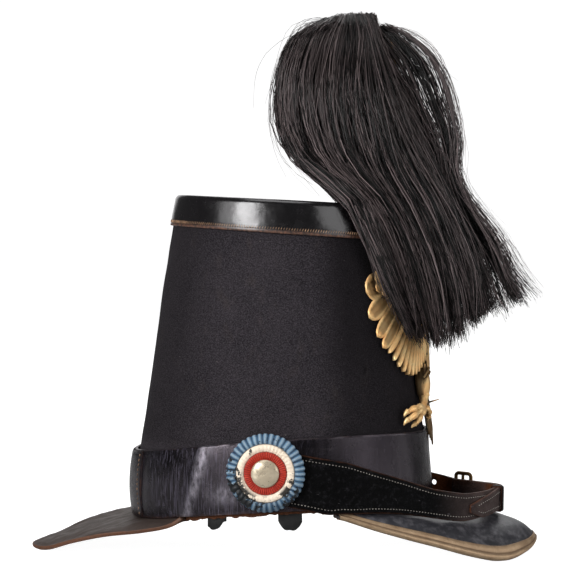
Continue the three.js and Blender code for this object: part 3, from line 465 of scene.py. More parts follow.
# ------------------------------------------------------------------ camera, floor, light
CAM_Y, MM_PER_PX, HORIZON, GROUND, ROLL = -1450.0, 0.68, 215.0, 549.1, 0.0146
cam_data = bpy.data.cameras.new("camera")
cam_data.sensor_width = 36.0
pitch = math.atan((285 - HORIZON) * MM_PER_PX / 1450.0)
cam_data.lens = 36.0 * (1450.0 / math.cos(pitch)) / (570 * MM_PER_PX)
cam_data.clip_end = 2000
camera = bpy.data.objects.new("camera", cam_data)
scene.collection.objects.link(camera)
camera.matrix_world = (
    Matrix.Translation(Vector((-ROLL * (GROUND - 285) * MM_PER_PX, CAM_Y, (GROUND - HORIZON) * MM_PER_PX)) * MM)
    @ Matrix.Rotation(pi / 2 - pitch, 4, "X")
    @ Matrix.Rotation(ROLL, 4, "Z")
)
scene.camera = camera

floor_me = bpy.data.meshes.new("floor")
floor_me.from_pydata([(-400, -400, 0), (400, -400, 0), (400, 400, 0), (-400, 400, 0)], [], [(0, 1, 2, 3)])
floor = bpy.data.objects.new("floor", floor_me)
scene.collection.objects.link(floor)
fm = Mat("floor", Roughness=0.9, Specular_IOR_Level=0.1, Emission_Color=(1, 1, 1, 1), Emission_Strength=0.97)
fm.link(fm.mix(fm.noise(400, 2), (0.3, 0.3, 0.3, 1), (0.34, 0.34, 0.34, 1)), "Base Color")
floor_me.materials.append(fm.m)
glow = bpy.data.collections.new("floor_glow")
glow.objects.link(floor)
floor.light_linking.receiver_collection = glow
# a far white backdrop round the floor, seen but giving no light
turn = [2 * pi * k / 48 for k in range(48)]
wall_me = bpy.data.meshes.new("backdrop")
wall_me.from_pydata([(14 * math.cos(t_), 14 * math.sin(t_), h_) for h_ in (-0.1, 9) for t_ in turn], [], [(k, (k + 1) % 48, 48 + (k + 1) % 48, 48 + k) for k in range(48)])
wall = bpy.data.objects.new("backdrop", wall_me)
scene.collection.objects.link(wall)
wm = Mat("backdrop", Roughness=0.9, Specular_IOR_Level=0.1, Emission_Color=(1, 1, 1, 1), Emission_Strength=1.05)
wm.link(wm.mix(wm.noise(400, 2), (0.3, 0.3, 0.3, 1), (0.34, 0.34, 0.34, 1)), "Base Color")
wall_me.materials.append(wm.m)
wall.visible_diffuse = wall.visible_glossy = wall.visible_transmission = wall.visible_shadow = False
wall.light_linking.receiver_collection = glow

world = bpy.data.worlds.new("world")
scene.world = world
world.use_nodes = True
wt = world.node_tree
wdir = node(wt, "ShaderNodeSeparateXYZ", {"Vector": node(wt, "ShaderNodeTexCoord").outputs["Generated"]})
front = node(wt, "ShaderNodeMapRange", {"Value": wdir.outputs[1], "From Min": 0.86, "From Max": 0.97, "To Min": 0.075, "To Max": 1.05}, clamp=True)
wt.links.new(front.outputs[0], wt.nodes["Background"].inputs["Strength"])
wt.nodes["Background"].inputs["Color"].default_value = (1, 1, 1, 1)
scene.view_settings.view_transform = "Standard"


def area(name, at, to, size, power, size_y=None):
    d = bpy.data.lights.new(name, "AREA")
    d.energy = power
    d.size = size
    if size_y:
        d.shape, d.size_y = "RECTANGLE", size_y
    o = bpy.data.objects.new(name, d)
    o.location = at
    o.rotation_euler = (Vector(to) - Vector(at)).to_track_quat("-Z", "Y").to_euler()
    scene.collection.objects.link(o)
    return o


area("softbox_left", (-0.905, -1.275, 0.62), (0, 0, 0.18), 0.5, 16.0, 0.9)
area("softbox_left_wide", (-1.13, -1.3, 0.66), (0, 0, 0.18), 1.35, 9.5, 1.0)
area("softbox_right", (1.3, -1.0, 0.62), (0.05, 0, 0.18), 1.1, 6.4, 0.95)
area("softbox_far_right", (1.6, 0.06, 0.5), (0.05, 0, 0.15), 0.4, 2.6, 0.9)
area("top", (-0.1, -0.4, 1.8), (0, 0, 0.1), 1.0, 8)
area("back_top", (0.25, 1.5, 1.55), (0.05, 0, 0.1), 1.5, 14)

# ------------------------------------------------------------------ the body, from the same sections as the frame
FELT_SECTIONS = [(-1.1, 98.4, 81.0, 26.0, 0.058, 8.0), (-3.2, 96.2, 79.3, 75.5, 0.0844, 6.5), (-4.0, 75.0, 66.5, 216.0, -0.04, 0.0), (-3.6, 72.3, 64.3, 233.5, -0.038, 0.0)]
BAND_SECTIONS = [(-1.1, 101.9, 84.0, 28.3, 0.058, 8.0), (-3.7, 101.6, 83.8, 51.9, 0.071, 7.2), (-3.6, 99.5, 82.3, 75.8, 0.0844, 6.5)]
CAP_SECTIONS = [(-3.85, 77.2, 68.7, 215.5, -0.052, 0.0), (-3.6, 74.5, 66.5, 232.4, -0.038, 0.0)]
CAP_TOP = 236.0
GAP = 0.35


def section_point(sec, u, grow=0.0, lift=0.0):
    cx, a, b, z, slope, arch = sec
    x = cx + (a + grow) * np.cos(u)
    y = (b + grow) * np.sin(u)
    return np.stack(np.broadcast_arrays(x, y, z + slope * (x - cx) + arch * np.sin(u) ** 2 + lift), -1)


def felt_at(u, z, grow=0.0):
    u, z = np.broadcast_arrays(np.asarray(u, float), np.asarray(z, float))
    rows = [section_point(s, u, grow) for s in FELT_SECTIONS]
    out = np.zeros(u.shape + (3,))
    for i in range(3):
        lo, hi = rows[i], rows[i + 1]
        t = (z - lo[..., 2]) / (hi[..., 2] - lo[..., 2])
        use = (z >= lo[..., 2]) if i else np.ones(u.shape, bool)
        p = lo + (hi - lo) * t[..., None]
        out = np.where(use[..., None], p, out)
    return out


def felt_normal(u, z):
    du = felt_at(u + 0.01, z) - felt_at(u - 0.01, z)
    dz = felt_at(u, z + 0.5) - felt_at(u, z - 0.5)
    n = np.cross(du, dz)
    n /= np.linalg.norm(n, axis=-1)[..., None]
    return n


def lerp_sections(a, b, t):
    return tuple(x + (y - x) * t for x, y in zip(a, b))


# felt body
N = 320
u = 2 * pi * np.arange(N) / N
rows, hemtag = [], []
ts = np.concatenate([[0, 0.012, 0.025, 0.04, 0.055, 0.07], np.linspace(0.12, 1, 12), np.linspace(1.03, 2, 40)[0:], np.linspace(2.1, 3, 8)])
ragged = 0.5 * wobble(np.stack([90 * np.cos(u), 90 * np.sin(u), 0 * u], -1), 7, 3) + 0.35 * wobble(np.stack([90 * np.cos(u), 90 * np.sin(u), 0 * u], -1), 2.6, 4)
for t in ts:
    i = min(2, int(t))
    p = section_point(lerp_sections(FELT_SECTIONS[i], FELT_SECTIONS[i + 1], t - i), u)
    if t < 0.03:
        p[:, 2] += ragged * (1 - t / 0.03)
    n = np.stack([np.cos(u), np.sin(u), 0 * u], -1)
    soft = 0.55 * wobble(p, 75, 11) + 0.22 * wobble(p, 24, 12)
    fade = float(smooth(t, 0.9, 1.25)) * float(1 - smooth(t, 1.85, 2.0))
    rows.append(p + n * (soft * fade * 0.6)[:, None])
    hemtag.append(np.full(N, 1.0 - float(smooth(t, 0.055, 0.09))))
for t in np.concatenate([np.linspace(3, 2.05, 4), np.linspace(2, 1, 8), np.linspace(0.8, 0.1, 4), [0.04, 0.0]]):
    i = min(2, int(t))
    p = section_point(lerp_sections(FELT_SECTIONS[i], FELT_SECTIONS[i + 1], t - i), u, -2.5)
    if t < 0.03:
        p[:, 2] += ragged
    rows.append(p)
    hemtag.append(np.full(N, 1.0 if t < 0.05 else 0.0))
verts = np.concatenate(rows)


def felt_shade(p):
    """Painted shade: dark towards the front, as the plume's and eagle's shadow, and, less, darker towards the back."""
    a = np.degrees(np.abs(np.arctan2(p[:, 1] / 66, (p[:, 0] + 4) / 75)))
    front_ = (1 - smooth(a, 58, 79)) * (0.52 + 0.16 * smooth(p[:, 2], 110, 150))
    back_ = 0.42 * smooth(a, 112, 150)
    return (front_ + back_) * smooth(p[:, 2], 70, 80)


moth_at = felt_at(-math.radians(53.0), 127.5)
moth = np.exp(-(np.linalg.norm(verts - moth_at, axis=1) / 1.3) ** 2)
piece("crown_felt", verts, grid_quads(len(rows), N, True, True), FELT, ["crown_shell"], {"hem": np.concatenate(hemtag), "moth": moth, "shade": felt_shade(verts)}, sharp=60)

# lid
N = 320
u = 2 * pi * np.arange(N) / N
rings, raw = [], []


def cap_ring(t, grow=0.0, lift=0.0):
    return section_point(lerp_sections(CAP_SECTIONS[0], CAP_SECTIONS[1], t), u, grow, lift)


top_in = section_point((-3.6, 72.3, 64.3, 233.5, -0.038, 0.0), u, GAP, GAP)
centre_in = top_in.mean(0)
for f in (0.02, 0.5, 1.0):
    rings.append(centre_in + (top_in - centre_in) * f); raw.append(0.6)
for t in (0.5, 0.0):
    rings.append(cap_ring(t, -1.75)); raw.append(0.8)
for g, l in ((-1.5, -0.35), (-0.8, -0.5), (-0.2, -0.3), (0.0, 0.15)):
    rings.append(cap_ring(0.0, g, l)); raw.append(1.0)
for t, g in ((0.05, 0.05), (0.10, 0.02), (0.13, -0.12), (0.17, -0.2), (0.21, -0.1), (0.3, 0.05), (0.5, 0.1), (0.75, 0.05), (0.95, 0.0)):
    rings.append(cap_ring(t, g)); raw.append(0.85 if t < 0.06 else 0.2 if t < 0.11 else 0.0)
for k in range(1, 9):
    a = k / 8 * pi / 2
    rings.append(cap_ring(1.0, -3.5 * (1 - math.cos(a)), 4.7 * math.sin(a))); raw.append(0.0)
edge = rings[-1]
mid = edge.mean(0)
for f, dip in ((0.985, -0.15), (0.965, -0.5), (0.94, -0.75), (0.88, -0.95), (0.7, -1.5), (0.45, -1.9), (0.2, -2.1), (0.02, -2.1)):
    rings.append(mid + (edge - mid) * f + np.array([0, 0, dip])); raw.append(0.0)
rings = np.array(rings)
bend = 0.25 * wobble(rings, 30, 21) * np.concatenate([np.zeros(6), np.ones(len(rings) - 6)])[:, None]
out = np.stack([np.cos(u), np.sin(u), 0 * u], -1)
rings = rings + out[None] * bend[..., None] * 0.8
cv, cf = loft_closed(rings)
piece("lid_leather", cv, cf, PATENT, ["top_cap"], {"raw": np.concatenate([np.repeat(raw, N), [0.6, 0.0]])}, sharp=50)


def stitch_row(points, outward, length, wide, high, heap, slant=0.0, **tags):
    """Short bead-like stitches at each point, lying along the row of points."""
    points, outward = np.asarray(points), np.asarray(outward)
    along = np.gradient(points, axis=0)
    along /= np.linalg.norm(along, axis=1)[:, None]
    for p, o, a in zip(points, outward, along):
        c = np.cross(o, a)
        a2 = math.cos(slant) * a + math.sin(slant) * c
        c2 = np.cross(o, a2)
        v, f = ellipsoid((0, 0, 0), (length / 2, wide / 2, high), n=8, m=5)
        heap.add(p + v[:, :1] * a2 + v[:, 1:2] * c2 + v[:, 2:] * o, f, **tags)


def spaced(points, pitch, closed=False):
    d = np.linalg.norm(np.diff(points, axis=0), axis=1)
    s = np.concatenate([[0], np.cumsum(d)])
    n = max(2, int(s[-1] / pitch))
    at = np.linspace(0, s[-1], n + 1)[: n if closed else n + 1]
    return np.stack([np.interp(at, s, points[:, k]) for k in range(3)], -1)


# stitches round the lid's lower edge
h = Heap()
ub = np.linspace(0, 2 * pi, 721)
line = section_point(lerp_sections(CAP_SECTIONS[0], CAP_SECTIONS[1], 0.15), ub, -0.18)
pts = spaced(line, 1.75, True)
ang = np.arctan2(pts[:, 1] / 68.0, (pts[:, 0] + 3.8) / 76.5)
stitch_row(pts, np.stack([np.cos(ang), np.sin(ang), 0 * ang], -1), 2.5, 0.62, 0.42, h, slant=1.2)
from_heap("lid_stitches", h, DARK_THREAD)

# foot band
N = 360
u = 2 * pi * np.arange(N) / N


def band_section(t):
    """Through the three sections, t from 0 at the bottom to 1 at the top."""
    a, b, c = (np.array(s) for s in BAND_SECTIONS)
    s = t * 2
    return tuple(a * (s - 1) * (s - 2) / 2 - b * s * (s - 2) + c * s * (s - 1) / 2)


rings, edge_tag, highlight_tag = [], [], []
for t, g, e in [(0.0, -2.0, 0.6), (0.0, -1.0, 0.9), (0.0, -0.3, 1.0), (0.012, 0.0, 0.7), (0.03, 0.0, 0.15)] + [(t, 0.0, 0.0) for t in np.linspace(0.06, 0.94, 24)] + [(0.97, 0.0, 0.0), (0.988, 0.0, 0.1), (1.0, -0.3, 0.35), (1.0, -1.0, 0.6), (1.0, -2.0, 0.6), (0.5, -2.0, 0.3)]:
    p = section_point(band_section(t), u, g)
    push = 0.28 * wobble(p, 38, 31) + 0.04 * wobble(p * np.array([1, 1, 0.2]), 7, 32)
    off = (p[:, 0] + 53.8 - (p[:, 2] - 76.7) * 0.268) / 5.0
    push = push + 0.9 * np.exp(-off * off) * (p[:, 1] < 0)
    # painted highlight tags: a streak along the crease and a patch at the band's highlight, near side only
    highlight_streak = np.exp(-((off - 0.35) / 0.55) ** 2) * (0.35 + 0.65 * smooth(p[:, 2], 40, 74))
    highlight_patch = 0.45 * np.exp(-((p[:, 0] + 40) / 9) ** 2 - ((p[:, 2] - 46) / 5.5) ** 2)
    highlight_tag.append(np.clip(highlight_streak + highlight_patch, 0, 1) * (p[:, 1] < 0))
    if g == 0.0:
        p = p + np.stack([np.cos(u), np.sin(u), 0 * u], -1) * push[:, None]
    rings.append(p); edge_tag.append(np.full(N, e))
piece("foot_band", np.concatenate(rings), grid_quads(len(rings), N, True, True), BAND, ["base_band"], {"edge": np.concatenate(edge_tag), "painted_highlight": np.concatenate(highlight_tag)}, sharp=55)

# the band's lapped end at the back, with its row of stitches
ul = np.linspace(math.radians(166), math.radians(204), 46)
rings, tag = [], []
for t, g, e in [(0.03, 0.12, 0.6), (0.012, 0.8, 0.6), (0.03, 1.3, 0.1)] + [(t, 1.35, 0.0) for t in np.linspace(0.08, 0.92, 16)] + [(0.97, 1.3, 0.1), (0.988, 0.8, 0.5), (0.97, 0.12, 0.5)] + [(t, 0.12, 0.5) for t in np.linspace(0.9, 0.1, 8)]:
    rings.append(section_point(band_section(t), ul, g))
    tag.append(e)
rings = np.array(rings).transpose(1, 0, 2)
lv, lf = loft_closed(rings)
ends = np.zeros((len(ul), rings.shape[1])); ends[[0, -1]] = 0.4
piece("band_lap", lv, lf, BAND, (), {"edge": np.concatenate([np.maximum(np.tile(tag, (len(ul), 1)), ends).ravel(), [1, 1]])}, sharp=50)
h = Heap()
for deg in (168.2, 201.8):
    col = np.array([section_point(band_section(t), math.radians(deg), 1.35) for t in np.linspace(0.07, 0.93, 60)])
    pts = spaced(col, 3.0)
    o = np.array([math.cos(math.radians(deg)), math.sin(math.radians(deg)), 0.0])
    stitch_row(pts, np.tile(o, (len(pts), 1)), 1.9, 0.6, 0.4, h)
from_heap("band_lap_stitches", h, DARK_THREAD)

# ------------------------------------------------------------------ peaks
FRONT_EDGE = ([0, 20, 30, 35, 40, 50, 60, 70, 80, 90], [10.8, 5.6, 2.5, 2.2, 3.0, 7.4, 13.4, 19.4, 26.2, 34.6])
REAR_EDGE = ([0, 15, 30, 45, 60, 75, 85, 90], [1.75, 1.9, 4.2, 10.8, 16.8, 20.6, 24.8, 31.0])


def band_foot_z(uu):
    return section_point(BAND_SECTIONS[0], uu)[..., 2]


def front_top(deg, t):
    deg, t = np.broadcast_arrays(np.asarray(deg, float), np.asarray(t, float))
    uu = np.radians(deg * 72 / 90)
    foot = section_point(FELT_SECTIONS[0], uu, GAP + 0.1)
    foot[..., 2] = band_foot_z(uu) - GAP - 1.5 * (np.abs(deg) / 90) ** 4
    v = np.radians(deg)
    edge = np.stack([30 + 141.13 * np.cos(v), 79.2 * np.sin(v), hermite(*FRONT_EDGE, np.abs(deg))], -1)
    p = foot + (edge - foot) * t[..., None]
    p[..., 2] += 7.0 * np.cos(v) * (1 - np.abs(2 * t**1.8 - 1) ** 3.6)
    return p


def rear_top(deg, t):
    deg, t = np.broadcast_arrays(np.asarray(deg, float), np.asarray(t, float))
    uu = pi - np.radians(deg * 50 / 90)
    foot = section_point(FELT_SECTIONS[0], uu, GAP + 0.1)
    foot[..., 2] = band_foot_z(uu) - GAP
    v = np.radians(deg)
    edge = np.stack([-67 - 105 * np.cos(v), 66 * np.sin(v), hermite(*REAR_EDGE, np.abs(deg))], -1)
    p = foot + (edge - foot) * t[..., None]
    p[..., 2] += 1.6 * np.cos(v) * np.sin(pi * t)
    return p


def sheet_up(top, deg, t):
    deg, t = np.broadcast_arrays(np.asarray(deg, float), np.asarray(t, float))
    d0 = np.clip(deg, -88, 88)
    along = top(d0 + 1, t) - top(d0 - 1, t)
    out_ = top(d0, np.minimum(1, t + 0.02)) - top(d0, np.maximum(0, t - 0.02))
    n = np.cross(along, out_)
    n /= np.linalg.norm(n, axis=-1)[..., None]
    n = np.where(n[..., 2:] < 0, -n, n)
    share = smooth(t, 0.1, 0.5)[..., None]
    n = np.array([0, 0, 1.0]) * (1 - share) + n * share
    return n / np.linalg.norm(n, axis=-1)[..., None]


def sheet_piece(name, top, leather, degs, ts, material, node_name, relief, floor_z=None):
    D, T = np.meshgrid(degs, ts, indexing="ij")
    up = sheet_up(top, D, T)
    upper = top(D, T)
    upper = upper + up * (relief(upper) * smooth(T, 0.04, 0.12) * (1 - smooth(T, 0.93, 0.985)))[..., None]
    tl = 1 - (1 - T[:, ::-1])
    lower = top(D, tl) - sheet_up(top, D, tl) * leather
    nose = []
    o = top(degs, 1.0) - top(degs, 0.98)
    o /= np.linalg.norm(o, axis=-1)[..., None]
    n1 = sheet_up(top, degs, np.ones(len(degs)))
    for k in range(1, 6):
        a = pi * k / 6
        nose.append(top(degs, 1.0) - n1 * (leather / 2) * (1 - math.cos(a)) + o * 0.5 * math.sin(a))
    nose = np.stack(nose, 1)
    ring = np.concatenate([upper, nose, lower], 1)
    if floor_z is not None:
        ring[..., 2] = np.maximum(ring[..., 2], floor_z)
    e = np.concatenate([smooth(T, 0.982, 1.0) * 0.9, np.ones(nose.shape[:2]), smooth(tl, 0.96, 0.99)], 1)
    un = np.concatenate([0 * T, np.full(nose.shape[:2], 0.3), np.ones(T.shape)], 1)
    v, f = loft_closed(ring)
    return piece(name, v, f, material, [node_name], {"edge": np.concatenate([e.ravel(), [0, 0]]), "under": np.concatenate([un.ravel(), [1, 1]])}, sharp=70)


ts = np.concatenate([np.linspace(0, 0.8, 22), np.linspace(0.82, 1, 14)])
sheet_piece("front_peak_leather", front_top, 3.0, np.linspace(-89, 89, 150), ts, PEAK, "front_peak", lambda p: 0.25 * wobble(p, 30, 41) + 0.08 * wobble(p, 9, 42))
sheet_piece("rear_peak_leather", rear_top, 2.6, np.linspace(-89, 89, 120), ts, REAR, "rear_peak", lambda p: 0.45 * wobble(p, 34, 43) + 0.18 * wobble(p, 11, 44), 0.0)

# binding of the front peak: thin metal folded over the edge
degs = np.linspace(-88.0, 88.0, 224)
length = np.linalg.norm(front_top(degs, 1.0) - front_top(degs, 0.0), axis=1)
over = np.minimum(2.6 + 5.0 * smooth(np.abs(degs), 2, 44), 0.8 * length) / length
under = np.minimum(5.0, 0.45 * length) / length
n1 = sheet_up(front_top, degs, np.ones(len(degs)))
o1 = front_top(degs, 1.0) - front_top(degs, 0.98)
o1 /= np.linalg.norm(o1, axis=1)[:, None]


def at(t, hgt):
    return front_top(degs, t) + sheet_up(front_top, degs, t) * hgt


def fold(r, k, n=8):
    """Round the edge: half a turn of radius r about the middle of the leather's edge."""
    a = pi * k / n
    return front_top(degs, 1.0) - n1 * 1.5 + n1 * (r * math.cos(a)) + o1 * (1.05 * math.sin(a) * (r / 2.65))


ripple = 0.12 * wobble(front_top(degs, 1.0), 16, 51)
tip = (1 - smooth(np.abs(degs), 4, 46))[:, None]
# third values: painted shade where the binding meets the leather, in the groove above the fold, under the edge and
# inside the fold
ring, deep = [], []
ones = np.ones(len(degs))
for q, hgt, d in ((1.0, 0.32, 1), (1.0, 0.8, 0.9), (0.97, 1.1, 0.4), (0.85, 1.2, 0.1), (0.6, 1.15, 0), (0.42, 1.05, 0.2), (0.33, 0.85, 0.8), (0.26, 1.0, 0.5), (0.17, 1.45, 0.0), (0.07, 1.6, 0.0)):
    ring.append(at(1 - over * q, hgt * (1 - 0.55 * tip)) + n1 * (ripple * (0.2 + 0.8 * (1 - q)))[:, None]); deep.append(d)
for k in range(0, 9):
    ring.append(fold(2.65 - 0.75 * tip, k)); deep.append(0.0)
for q in (0.3, 0.7, 1.0):
    ring.append(at(1 - under * q, -4.15)); deep.append(0.2)
for q in (1.0, 0.5):
    ring.append(at(1 - under * q, -3.35)); deep.append(1.0)
for k in range(8, -1, -2):
    ring.append(fold(1.86 - 0.26 * tip, k)); deep.append(1.0)
ring.append(at(1 - over * 0.5, 0.32 * (1 - 0.55 * tip))); deep.append(1)
ring = np.stack(ring, 1)
ring[..., 2] = np.maximum(ring[..., 2], 0.0)
m = ring.shape[1]
v = ring.reshape(-1, 3)
f = [tuple(q) for q in grid_quads(len(degs), m, False, True)]
f.append(tuple(range(m)))
f.append(tuple(range((len(degs) - 1) * m, len(degs) * m))[::-1])
piece("peak_binding", v, f, RIMBRASS, ["front_peak_rim"], {"deep": np.tile(deep, len(degs))}, sharp=60)

# ------------------------------------------------------------------ chin strap
STATIONS = np.array([  # x, y, top, bottom
    (-31, 82.2, 78.0, 46.0), (-10, 85.5, 76.5, 42.5), (10.4, 85.5, 72.6, 38.6), (39.6, 79.2, 67.6, 32.5), (60, 70.6, 60.5, 28.0),
    (73.7, 63.2, 56.0, 25.2), (96.2, 52.0, 48.0, 23.5), (118, 39.5, 43.5, 23.6), (135.5, 21.5, 43.8, 25.0), (144, 0, 45.0, 25.7)])


def centripetal(points, per=24):
    pts = [2 * points[0] - points[1], *points, 2 * points[-1] - points[-2]]
    out_ = []
    for i in range(1, len(pts) - 2):
        p0, p1, p2, p3 = pts[i - 1 : i + 3]
        t0, t1, t2 = (np.linalg.norm(b - a) ** 0.5 for a, b in ((p0, p1), (p1, p2), (p2, p3)))
        m1 = ((p1 - p0) / t0 - (p2 - p0) / (t0 + t1) + (p2 - p1) / t1) * t1
        m2 = ((p2 - p1) / t1 - (p3 - p1) / (t1 + t2) + (p3 - p2) / t2) * t1
        for k in range(per + (i == len(pts) - 3)):
            s = k / per
            out_.append((2 * s**3 - 3 * s**2 + 1) * p1 + (s**3 - 2 * s**2 + s) * m1 + (3 * s**2 - 2 * s**3) * p2 + (s**3 - s**2) * m2)
    return np.array(out_)


near_half = np.stack([STATIONS[:, 0], -STATIONS[:, 1], 0 * STATIONS[:, 0]], -1)
far_half = np.stack([STATIONS[-2::-1, 0], STATIONS[-2::-1, 1], 0 * STATIONS[-2::-1, 0]], -1)
route = centripetal(list(np.concatenate([near_half, far_half])))
STRAP_N = 420
d = np.concatenate([[0], np.cumsum(np.linalg.norm(np.diff(route, axis=0), axis=1))])
where = np.linspace(0, d[-1], STRAP_N)
route = np.stack([np.interp(where, d, route[:, k]) for k in range(3)], -1)
tang = np.gradient(route, axis=0)
tang /= np.linalg.norm(tang, axis=1)[:, None]
strap_out = np.stack([tang[:, 1], -tang[:, 0], 0 * where], -1)
D, T = np.meshgrid(np.arange(-88, 89, 1.0), np.linspace(0, 1, 46), indexing="ij")
peak_pts = front_top(D, T) + sheet_up(front_top, D, T) * np.where(T > 0.45, np.where((T > 0.8) | (np.abs(D) > 60), 1.15, 0.35), 0.0)[..., None]
peak_pts = peak_pts.reshape(-1, 3)


def peak_height(p, reach=3.6):
    near = np.linalg.norm(peak_pts[:, :2] - p[:2], axis=1) < reach
    return peak_pts[near, 2].max() if near.any() else -1e9


strap_top = np.interp(route[:, 0], STATIONS[:, 0], STATIONS[:, 2])
strap_low = np.maximum(np.interp(route[:, 0], STATIONS[:, 0], STATIONS[:, 3]), [peak_height(p) + GAP + 2.3 * float(smooth(p[0], 122, 138)) for p in route])
kernel = np.hanning(17); kernel /= kernel.sum()
soften = lambda a: np.convolve(np.pad(a, 8, mode="edge"), kernel, mode="valid")
strap_top, strap_low = soften(strap_top), np.maximum(soften(strap_low), 0)
side = np.where(route[:, 1] < 0, -1, 1)
LAYER = 2.4
strap_wave = 0.18 * wobble(route, 26, 61)
strap_worn = smooth(route[:, 0], 95, 138)


def strap_piece(name, keep, layer, top, low, node_name, tan):
    idx = np.where(keep)[0]
    p, o = route[idx], strap_out[idx]
    lay, hi, lo = layer[idx], top[idx], low[idx]
    prof = [(-1.0, 0.0, 0.5), (-0.82, 0.0, -0.42), (0.0, 0.0, -0.62), (0.82, 0.0, -0.42), (1.0, 0.0, 0.5), (1.02, 0.12, 0), (0.9, 0.3, 0), (0.92, 0.5, 0), (0.9, 0.7, 0), (1.02, 0.88, 0), (1.0, 1.0, -0.5), (0.82, 1.0, 0.42), (0.0, 1.0, 0.62), (-0.82, 1.0, 0.42), (-1.0, 1.0, -0.5), (-1.0, 0.5, 0.0)]
    etag = [0.5, 1, 1, 0.5, 0.0, 0, 0, 0, 0, 0, 0.0, 0.6, 1, 1, 0.6, 0]
    btag = [1, 0, 0, 0, 0, 0, 0, 0, 0, 0, 0, 0, 0, 0, 1, 1]
    wav = strap_wave[idx]
    ring_ = np.stack([p + o * (lay + k + wav)[:, None] + np.stack([0 * hi, 0 * hi, lo + (hi - lo) * q + e], -1) for k, q, e in prof], 1)
    v_, f_ = loft_closed(ring_)
    return piece(name, v_, f_, STRAP, [node_name], {"edge": np.concatenate([np.where(np.arange(len(idx) * len(prof)) < 0, 0, np.tile(etag, len(idx))) * 0.8, [0.2, 0.2]]), "back": np.concatenate([(np.tile(btag, (len(idx), 1)) * tan[idx][:, None]).ravel(), [0, 0]]), "worn": np.concatenate([np.repeat(strap_worn[idx], len(prof)), [0, 0]])}, sharp=55)


zero = np.zeros(STRAP_N)
near_keep = (side < 0) | (route[:, 0] > 116.5)
i0 = np.where(near_keep)[0][0]
run = where - where[i0]
round_end = 5.5 * (1 - np.sqrt(np.clip(1 - (1 - np.clip(run / 9, 0, 1)) ** 2, 0, 1)))
strap_piece("chin_strap_near", near_keep, zero, strap_top - round_end, strap_low + round_end, "strap_near", np.where(side > 0, smooth(route[:, 0], 136, 142), 1.0))
far_layer = np.where(side < 0, LAYER, LAYER * smooth(route[:, 0], 92, 112))
share = np.where(side < 0, np.clip((141 - route[:, 0]) / 20, 0, 1), 0)
middle = (strap_top + strap_low) / 2 - 1
far_top = strap_top + (middle + 2.0 - strap_top) * share
far_low = strap_low + (middle - 2.0 - strap_low) * np.clip((share - 0.55) / 0.45, 0, 1)
far_keep = (side > 0) | (route[:, 0] > 121)
far_strap = strap_piece("chin_strap_far", far_keep, far_layer, far_top, far_low, "strap_far", np.ones(STRAP_N))
h0 = int(np.argmin(np.abs(route[:, 0] - 104.0) + 1000 * (side < 0)))
hole_at = route[h0] + strap_out[h0] * far_layer[h0] + np.array([0, 0, 40.6])
hv, hf = tube(np.array([hole_at + strap_out[h0] * q for q in (-5.0, 5.0)]), 1.9, 20)
hole_me = bpy.data.meshes.new("punch")
hole_me.from_pydata((hv * MM).tolist(), [], [tuple(map(int, q)) for q in hf])
fix_normals(hole_me)
punch = bpy.data.objects.new("punch", hole_me)
scene.collection.objects.link(punch)
cut = far_strap.modifiers.new("punch", "BOOLEAN")
cut.operation, cut.solver, cut.object = "DIFFERENCE", "EXACT", punch
cut_me = bpy.data.meshes.new_from_object(far_strap.evaluated_get(bpy.context.evaluated_depsgraph_get()))
far_strap.modifiers.clear()
if len(cut_me.polygons) > len(far_strap.data.polygons) // 2:
    far_strap.data = cut_me
bpy.data.objects.remove(punch)
bpy.data.meshes.remove(hole_me)

h = Heap()


def strap_stitches(keep, layer, top, low, inset=2.5):
    idx = np.where(keep)[0]
    for z in (top - inset, low + inset):
        line_ = route[idx] + strap_out[idx] * (layer[idx] + 1.0 + strap_wave[idx])[:, None] + np.stack([0 * idx, 0 * idx, z[idx]], -1)
        pts_ = spaced(line_, 2.2)
        k = [int(np.argmin(np.linalg.norm(route[idx, :2] - q[:2], axis=1))) for q in pts_]
        stitch_row(pts_, strap_out[idx][k], 1.15, 0.62, 0.4, h)


strap_stitches(near_keep & (run > 6) & ((side < 0) | (route[:, 0] > 128)), zero, strap_top, strap_low)
strap_stitches(far_keep & (far_top - far_low > 9) & (where < where[-1] - 4), far_layer, far_top, far_low)
from_heap("strap_stitches", h, THREAD)

# keeper: a leather loop round both layers
k0 = int(np.argmin(np.abs(route[:, 0] - 142.2) + 1000 * (side > 0)))
kp, ko, kt = route[k0], strap_out[k0], tang[k0]
prof = []
lo_, hi_ = strap_low[k0] - 0.45, strap_top[k0] + 0.45
inner, outer = -1.9, LAYER + 1.9
corner = [(inner, lo_), (outer, lo_), (outer, hi_), (inner, hi_)]


def rounded_loop(w0, z0, w1, z1, r, n=5):
    pts_ = []
    for cx_, cz_, a0 in ((w1 - r, z0 + r, -pi / 2), (w1 - r, z1 - r, 0), (w0 + r, z1 - r, pi / 2), (w0 + r, z0 + r, pi)):
        for j in range(n + 1):
            a = a0 + j / n * pi / 2
            pts_.append((cx_ + r * math.cos(a), cz_ + r * math.sin(a)))
    return np.array(pts_)


inside, outside = rounded_loop(inner, lo_, outer, hi_, 0.8), rounded_loop(inner - 1.1, lo_ - 1.1, outer + 1.1, hi_ + 1.1, 1.7)
ring = []
for loop_, w_ in ((inside, -2.3), (outside * 0.999, -2.0), (outside, -1.5), (outside, 1.5), (outside * 0.999, 2.0), (inside, 2.3)):
    ring.append(kp + loop_[:, :1] * ko + np.stack([0 * loop_[:, 0], 0 * loop_[:, 0], loop_[:, 1]], -1) + kt * w_)
ring = np.array(ring)
piece("strap_keeper_loop", ring.reshape(-1, 3), grid_quads(len(ring), ring.shape[1], True, True), STRAP, ["strap_keeper"], {"edge": np.repeat([0.6, 0.2, 0, 0, 0.2, 0.6], ring.shape[1]), "back": np.zeros(ring.shape[0] * ring.shape[1])}, sharp=45)

